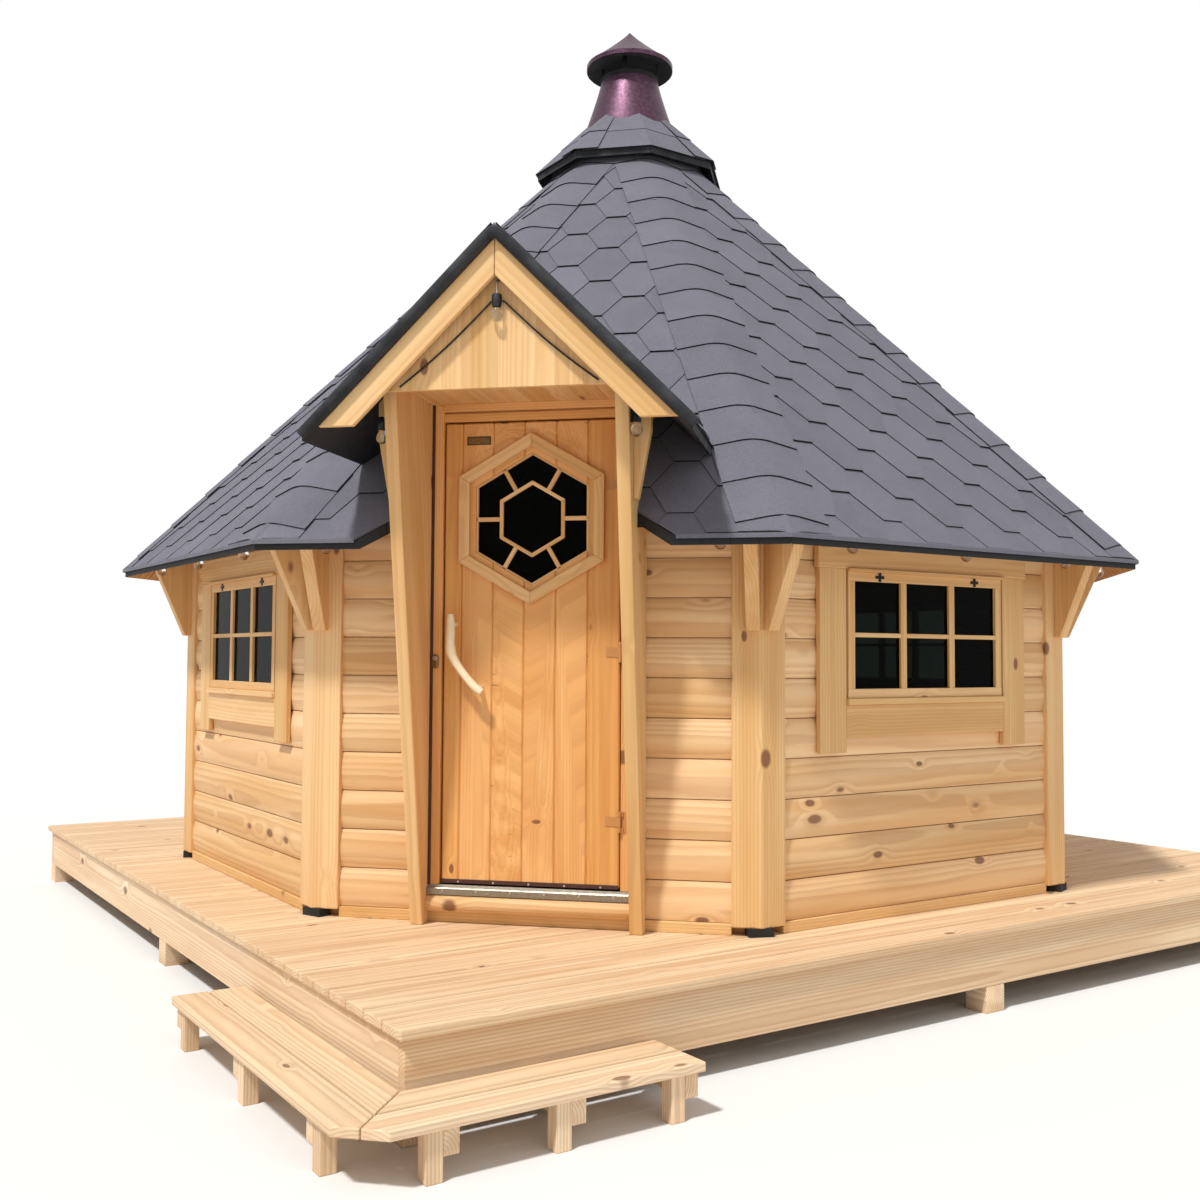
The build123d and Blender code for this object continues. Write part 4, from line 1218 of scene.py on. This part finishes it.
def layStarter(bm, wall, cuts):
    # the strip under the first course, folded down over the eave
    far, eave, slope = mainRoof[1:]
    out, run = far + roof["overhang"], roof["starter"]
    top = eave + run * slope
    profile = [(-out, eave - .004), (run - far, top + .001), (run - far, top + .003),
               (-out - .002, eave - .002), (-out - .002, eave - roof["drip"]), (-out, eave - roof["drip"])]
    half = far * math.tan(halfTurn) + .02
    part = newShingleMesh()
    closeLoops(part, *([(x, y, z) for y, z in profile] for x in (-half, half)))
    part.transform(wallPlace(wall))
    joinMesh(bm, part, cuts)


def addFold(bm, rings, shade):
    # a closed strip between a lower and an upper line, each given as its top and its underside
    rim = bm.faces.layers.float["rim"]
    tone = bm.verts.layers.float["tone"]
    lines = [[bm.verts.new(point) for point in ring] for ring in rings]
    for vert in (vert for line in lines for vert in line):
        vert[tone] = shade
    top, under, topEnd, underEnd = lines
    last = len(top) - 1
    for index in range(last):
        after = index + 1
        bm.faces.new((top[index], top[after], topEnd[after], topEnd[index]))
        bm.faces.new((under[after], under[index], underEnd[index], underEnd[after]))
        bm.faces.new((top[after], top[index], under[index], under[after]))[rim] = 1
        bm.faces.new((topEnd[index], topEnd[after], underEnd[after], underEnd[index]))[rim] = 1
    bm.faces.new((top[0], topEnd[0], underEnd[0], under[0]))[rim] = 1
    bm.faces.new((topEnd[last], top[last], under[last], underEnd[last]))[rim] = 1


def layFolds(bm, start, stop, sides, dice):
    # caps along a hip or a ridge, each over the one below; sides are the two ways down and their normals
    along = (stop - start).normalized()
    (left, leftNormal), (right, rightNormal) = sides
    half, fold = roof["capHalf"], roof["capFold"]
    section = [(left * half, leftNormal)]
    for step in range(9):
        share = step / 8
        spot = left * fold * (1 - share) ** 2 + right * fold * share ** 2
        section.append((spot, leftNormal.lerp(rightNormal, share).normalized()))
    section.append((right * half, rightNormal))
    for number in range(math.ceil((stop - start).length / roof["capRise"])):
        base = start + along * (number * roof["capRise"])
        upper = min(roof["capLong"], (stop - base).length)
        rings = [[base + along * reach + spot + normal * (lift - drop) for spot, normal in section]
                 for reach, lift in ((0, roof["capLift"]), (upper, roof["capLift"] * roof["taper"]))
                 for drop in (0, roof["thick"])]
        addFold(bm, rings, dice.uniform(-1, 1))


def hipNormal(side, slope):
    return Vector((side * math.sin(halfTurn) * slope, -math.cos(halfTurn) * slope, 1)).normalized()


def layHip(bm, hip, near, far, eave, slope):
    # made over the front and then turned to its hip
    start = Vector((0, -far / math.cos(halfTurn), eave))
    stop = Vector((0, -near / math.cos(halfTurn), eave + (far - near) * slope))
    along = (stop - start).normalized()
    normals = [(side, hipNormal(side, slope)) for side in (-1, 1)]
    sides = [(along.cross(normal).normalized() * side, normal) for side, normal in normals]
    part = newShingleMesh()
    layFolds(part, start - along * roof["capRise"] * .6, stop, sides, random.Random(hip * 7 + 3))
    part.transform(wallPlace(hip + .5))
    joinMesh(bm, part, [eaveCut(wall, far) for wall in (hip, hip + 1)])


def finishRoof(name, bm, smoothAngle=None, finish=shingleFinish):
    finishPiece(name, bm, finish, "roof_boards", smoothAngle=smoothAngle)


mainRoof = pitched("roof_panels")
mainOut = Vector((0, -mainRoof[3], 1)).normalized()


def makeMainRoof():
    near, far, eave, slope = mainRoof
    length = (far - near) * math.hypot(1, slope)
    width = 2 * far * math.tan(halfTurn)
    # the front slope's own axes: X across, Y up the slope and Z out, from the middle of its lower edge
    up = Vector((0, 1, slope)).normalized()
    turned = Matrix((axes["x"], up, axes["x"].cross(up))).transposed().to_4x4()
    flat = Matrix.Translation((0, -far, eave)) @ turned
    slopes = {"roofShinglesFront": (1, 7), "roofShinglesSide": (2, 6), "roofShinglesBack": (3, 4, 5)}
    for name, walls in slopes.items():
        bm = newShingleMesh()
        for wall in walls:
            inwards = wallPlace(wall) @ axes["y"]
            cuts = hipCuts(wall, roof["hipGap"]) + [(inwards * -near, inwards), eaveCut(wall, far)]
            layShingles(bm, wallPlace(wall) @ flat, width, length, cuts, wall)
            layStarter(bm, wall, hipCuts(wall, 0))
        finishRoof(name, bm)
    # the front slope is open where the porch comes through it
    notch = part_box("porch_cheeks")[1].x
    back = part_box("porch_ceiling")[1].y
    bm = newShingleMesh()
    shared = hipCuts(0, roof["hipGap"]) + [((0, -near, 0), (0, 1, 0)), eaveCut(0, far)]
    opening = [((0, back, 0), (0, -1, 0)), ((-notch, 0, 0), (-1, 0, 0)), ((notch, 0, 0), (1, 0, 0))]
    layShingles(bm, flat, width, length, shared + opening, 9)
    for side in (-1, 1):
        lean = Vector((side * -roof["notchLean"], -roof["notchOut"], 0)).normalized()
        corner = Vector((side * (notch + roof["notchOut"]), -far, 0))
        beside = [((side * notch, 0, 0), (-side, 0, 0)), (corner, lean)]
        layShingles(bm, flat, width, length, shared + beside, 9)
        layStarter(bm, 0, hipCuts(0, 0) + beside)
    finishRoof("roofShinglesDoorSide", bm)
    caps = newShingleMesh()
    for hip in range(wallCount):
        layHip(caps, hip, near, far, eave, slope)
    finishRoof("hipCaps", caps, 30)


makeMainRoof()
print("main roof made")


# Cap roof: folded sheets, wide ones on every second hip over narrow ones
capRoof = {"courses": 1, "last": .9, "overlap": .05, "shares": (.9, .3), "lifts": (.007, .015), "fold": .02,
           "tuck": .026, "overhang": .008}


def capRing(apothem, share, lift, near, far, eave, slope):
    # one line across a hip, from side to side over the fold
    ridge = Vector((0, -apothem / math.cos(halfTurn), eave + (far - apothem) * slope))
    ring = []
    for step in range(9):
        across = abs(step - 4) / 4
        side = -1 if step < 4 else 1
        wide = share * 2 * apothem * math.tan(halfTurn) if across == 1 else capRoof["fold"] * across ** 2
        blend = hipNormal(-1, slope).lerp(hipNormal(1, slope), min(max((step - 1) / 6, 0), 1))
        spot = ridge + Vector((side * math.cos(halfTurn), math.sin(halfTurn), 0)) * wide
        spot += blend.normalized() * lift
        if apothem == near:
            # the top ring is round and ends inside the cone's foot
            under = near * math.cos(halfTurn - math.atan2(abs(spot.x), -spot.y))
            spot = Vector((*(spot.xy.normalized() * near), eave + (far - under) * slope + lift))
        ring.append(spot)
    return ring


def layCapSheets(bm, hip, share, lift):
    far, eave, slope = pitched("cap_panels")[1:]
    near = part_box("chimney_cone")[1].x - capRoof["tuck"]
    dice = random.Random(hip + 40)
    turned = wallPlace(hip + .5)
    run = (far - near) / (capRoof["courses"] + capRoof["last"])
    for course in range(capRoof["courses"] + 1):
        lower = far + capRoof["overhang"] - run * course
        upper = near if course == capRoof["courses"] else lower - run - capRoof["overlap"]
        shade = dice.uniform(-1, 1)
        rings = []
        for apothem, high in ((lower, lift), (upper, lift * roof["taper"])):
            for drop in (0, roof["thick"]):
                ring = capRing(apothem, share, high - drop, near, far, eave, slope)
                rings.append([turned @ point for point in ring])
        addFold(bm, rings, shade)


def makeCapRoof():
    bm = newShingleMesh()
    for hip in range(wallCount):
        layCapSheets(bm, hip, capRoof["shares"][hip % 2], capRoof["lifts"][hip % 2])
    finishRoof("capSheets", bm, 30)


makeCapRoof()
print("cap roof made")


# Porch roof
porchRoof = {"strip": .16, "stripLift": .0135, "edge": .021, "edgeSink": .007, "edgeSides": 20,
             "eaveOut": .008, "bend": .022, "setBack": .004, "ridgeFrom": .02, "bed": .001}


def makePorchRoof():
    low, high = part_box("porch_roof")
    far, eave, slope = mainRoof[1:]
    peak = high.z + porchRoof["bed"]
    length = high.x * math.sqrt(2)
    eaveOut = porchRoof["eaveOut"]
    shingles, felt = newShingleMesh(), newShingleMesh()
    front, inside = ((0, low.y, 0), (0, -1, 0)), ((0, -far, eave), -mainOut)
    ridge = []
    for side in (-1, 1):
        up = Vector((-side, 0, 1)).normalized()
        across = Vector((0, side, 0))
        out = across.cross(up)
        ridge.append((-up, out))
        base = Vector((side * high.x, 0, peak - high.x))
        middle = Matrix.Translation(base + axes["y"] * ((low.y + high.y) / 2))
        placed = middle @ Matrix((across, up, out)).transposed().to_4x4()
        cuts = [front, ((0, 0, 0), (-side, 0, 0)), inside, ((side * (high.x + eaveOut), 0, 0), (side, 0, 0))]
        layShingles(shingles, placed, high.y - low.y, length, cuts, 21 + side)
        # one strip lies under the first course, and one over the courses along the front edge
        for top, back, lifts, shade, cut in (
                (roof["starter"], high.y, (.003, .001), 0, [inside]),
                (length, low.y + porchRoof["strip"],
                 (porchRoof["stripLift"], porchRoof["stripLift"] - roof["thick"]), .4 * side, [])):
            part = newShingleMesh()
            addFold(part, [[base + up * reach + axes["y"] * y + out * lift for y in (low.y, back)]
                           for reach in (-eaveOut, top) for lift in lifts], shade)
            joinMesh(shingles, part, cut)
    stop = Vector((0, -far + (peak - eave) / slope, peak))
    layFolds(shingles, Vector((0, low.y + porchRoof["ridgeFrom"], peak)), stop, ridge, random.Random(31))
    # the rolled edge runs up one slope, over the top and down the other
    bend, out, face = porchRoof["bend"], eaveOut / math.sqrt(2), low.y + porchRoof["setBack"]
    radius = bend * math.sqrt(2)
    top = peak - porchRoof["edgeSink"] * math.sqrt(2)
    path = [Vector((-high.x - out, face, top - high.x - out)), Vector((-bend, face, top - bend))]
    for step in range(1, 10):
        turn = math.radians(-45 + 9 * step)
        path.append(Vector((radius * math.sin(turn), face, top - 2 * bend + radius * math.cos(turn))))
    path += [Vector((-point.x, point.y, point.z)) for point in path[1::-1]]
    addTube(felt, path, [porchRoof["edge"]] * len(path), porchRoof["edgeSides"])
    finishRoof("porchShingles", shingles)
    finishRoof("porchRolledEdge", felt, 40, feltFinish)


makePorchRoof()
refinish(liningFinish, "roof_panels", "front_roof_panel")
print("porch roof made")


# Chimney
chimney = {"steps": 96, "wall": .004, "waist": .166, "waistRise": .220, "lipOut": .002, "lipUnder": .004,
           "hatCurve": 1.12, "hatTip": .004, "hatRim": .025, "hatWall": .004,
           "hatShares": (.02, .05, .1, .18, .28, .4, .52, .65, .78, .9, .97),
           "hollow": ((.8, .014), (.5, .045), (0, .075)), "liningSinks": (.003, .005, .005, .005)}


def makeTurned(name, profile, finish, closed=False, replaced=()):
    # turns a profile of radius and height about an upright axis; a closed profile makes a ring
    bm = bmesh.new()
    steps = chimney["steps"]
    rings = []
    for radius, height in profile:
        turns = [2 * math.pi * step / steps for step in range(steps if radius > 1e-6 else 1)]
        spots = [(radius * math.sin(turn), -radius * math.cos(turn), height) for turn in turns]
        rings.append([bm.verts.new(spot) for spot in spots])
    for below, above in zip(rings, rings[1:] + rings[:1] if closed else rings[1:]):
        for step in range(steps):
            after = (step + 1) % steps
            corners = [below[step % len(below)], below[after % len(below)], above[after % len(above)],
                       above[step % len(above)]]
            bm.faces.new(list(dict.fromkeys(corners)))
    finishPiece(name, bm, finish, "chimney_metal", replaced, smoothAngle=40)


def makeChimney():
    low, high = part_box("chimney_cone")
    spots = [vertex.co for vertex in nodes["chimney_cone"].data.vertices]
    mouth = max(spot.xy.length for spot in spots if spot.z > high.z - .001)
    lipFoot = min(spot.z for spot in spots if abs(spot.xy.length - mouth) < .0005)
    wall = chimney["wall"]
    # the cone widens towards its foot in one hollow curve
    curve = [(high.x, low.z), (chimney["waist"], low.z + chimney["waistRise"]), (mouth, lipFoot)]
    outer = []
    for step in range(13):
        share = step / 12
        weights = ((1 - share) ** 2, 2 * share * (1 - share), share ** 2)
        outer.append([sum(weight * part for weight, part in zip(weights, parts)) for parts in zip(*curve)])
    inner = [(radius - wall, height) for radius, height in outer[::-1]]
    makeTurned("chimneyCone", outer + inner, chimneyFinish, True, ["chimney_cone"])
    out, under, inside = mouth + chimney["lipOut"], lipFoot - chimney["lipUnder"], mouth - wall
    profile = [(inside, under), (out, under), (out, high.z - .002), (mouth, high.z), (inside, high.z)]
    # the lip is painted near-black, as painted shadow from the hat above it
    makeTurned("chimneyLip", profile, hatShadowPaint, True)
    low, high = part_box("chimney_hat")
    rise = high.z - low.z - chimney["hatRim"]
    over = [(high.x * share, high.z - chimney["hatTip"] * share - rise * share ** (1 / chimney["hatCurve"]))
            for share in chimney["hatShares"]]
    under = [(high.x - chimney["hatWall"], low.z)]
    under += [(high.x * share, low.z + up) for share, up in chimney["hollow"]]
    # the hat's underside is lined in near-black paint, as painted shade
    lining = [(radius, height - .001) for radius, height in under[::-1]]
    lining += [(radius, height - sink) for (radius, height), sink in zip(under, chimney["liningSinks"])]
    makeTurned("hatLining", lining, hatShadowPaint)
    profile = [(0, high.z)] + over + [(high.x, low.z + chimney["hatRim"]), (high.x, low.z + .001)] + under
    makeTurned("chimneyHat", profile, chimneyFinish, replaced=["chimney_hat"])


makeChimney()
print("chimney made")
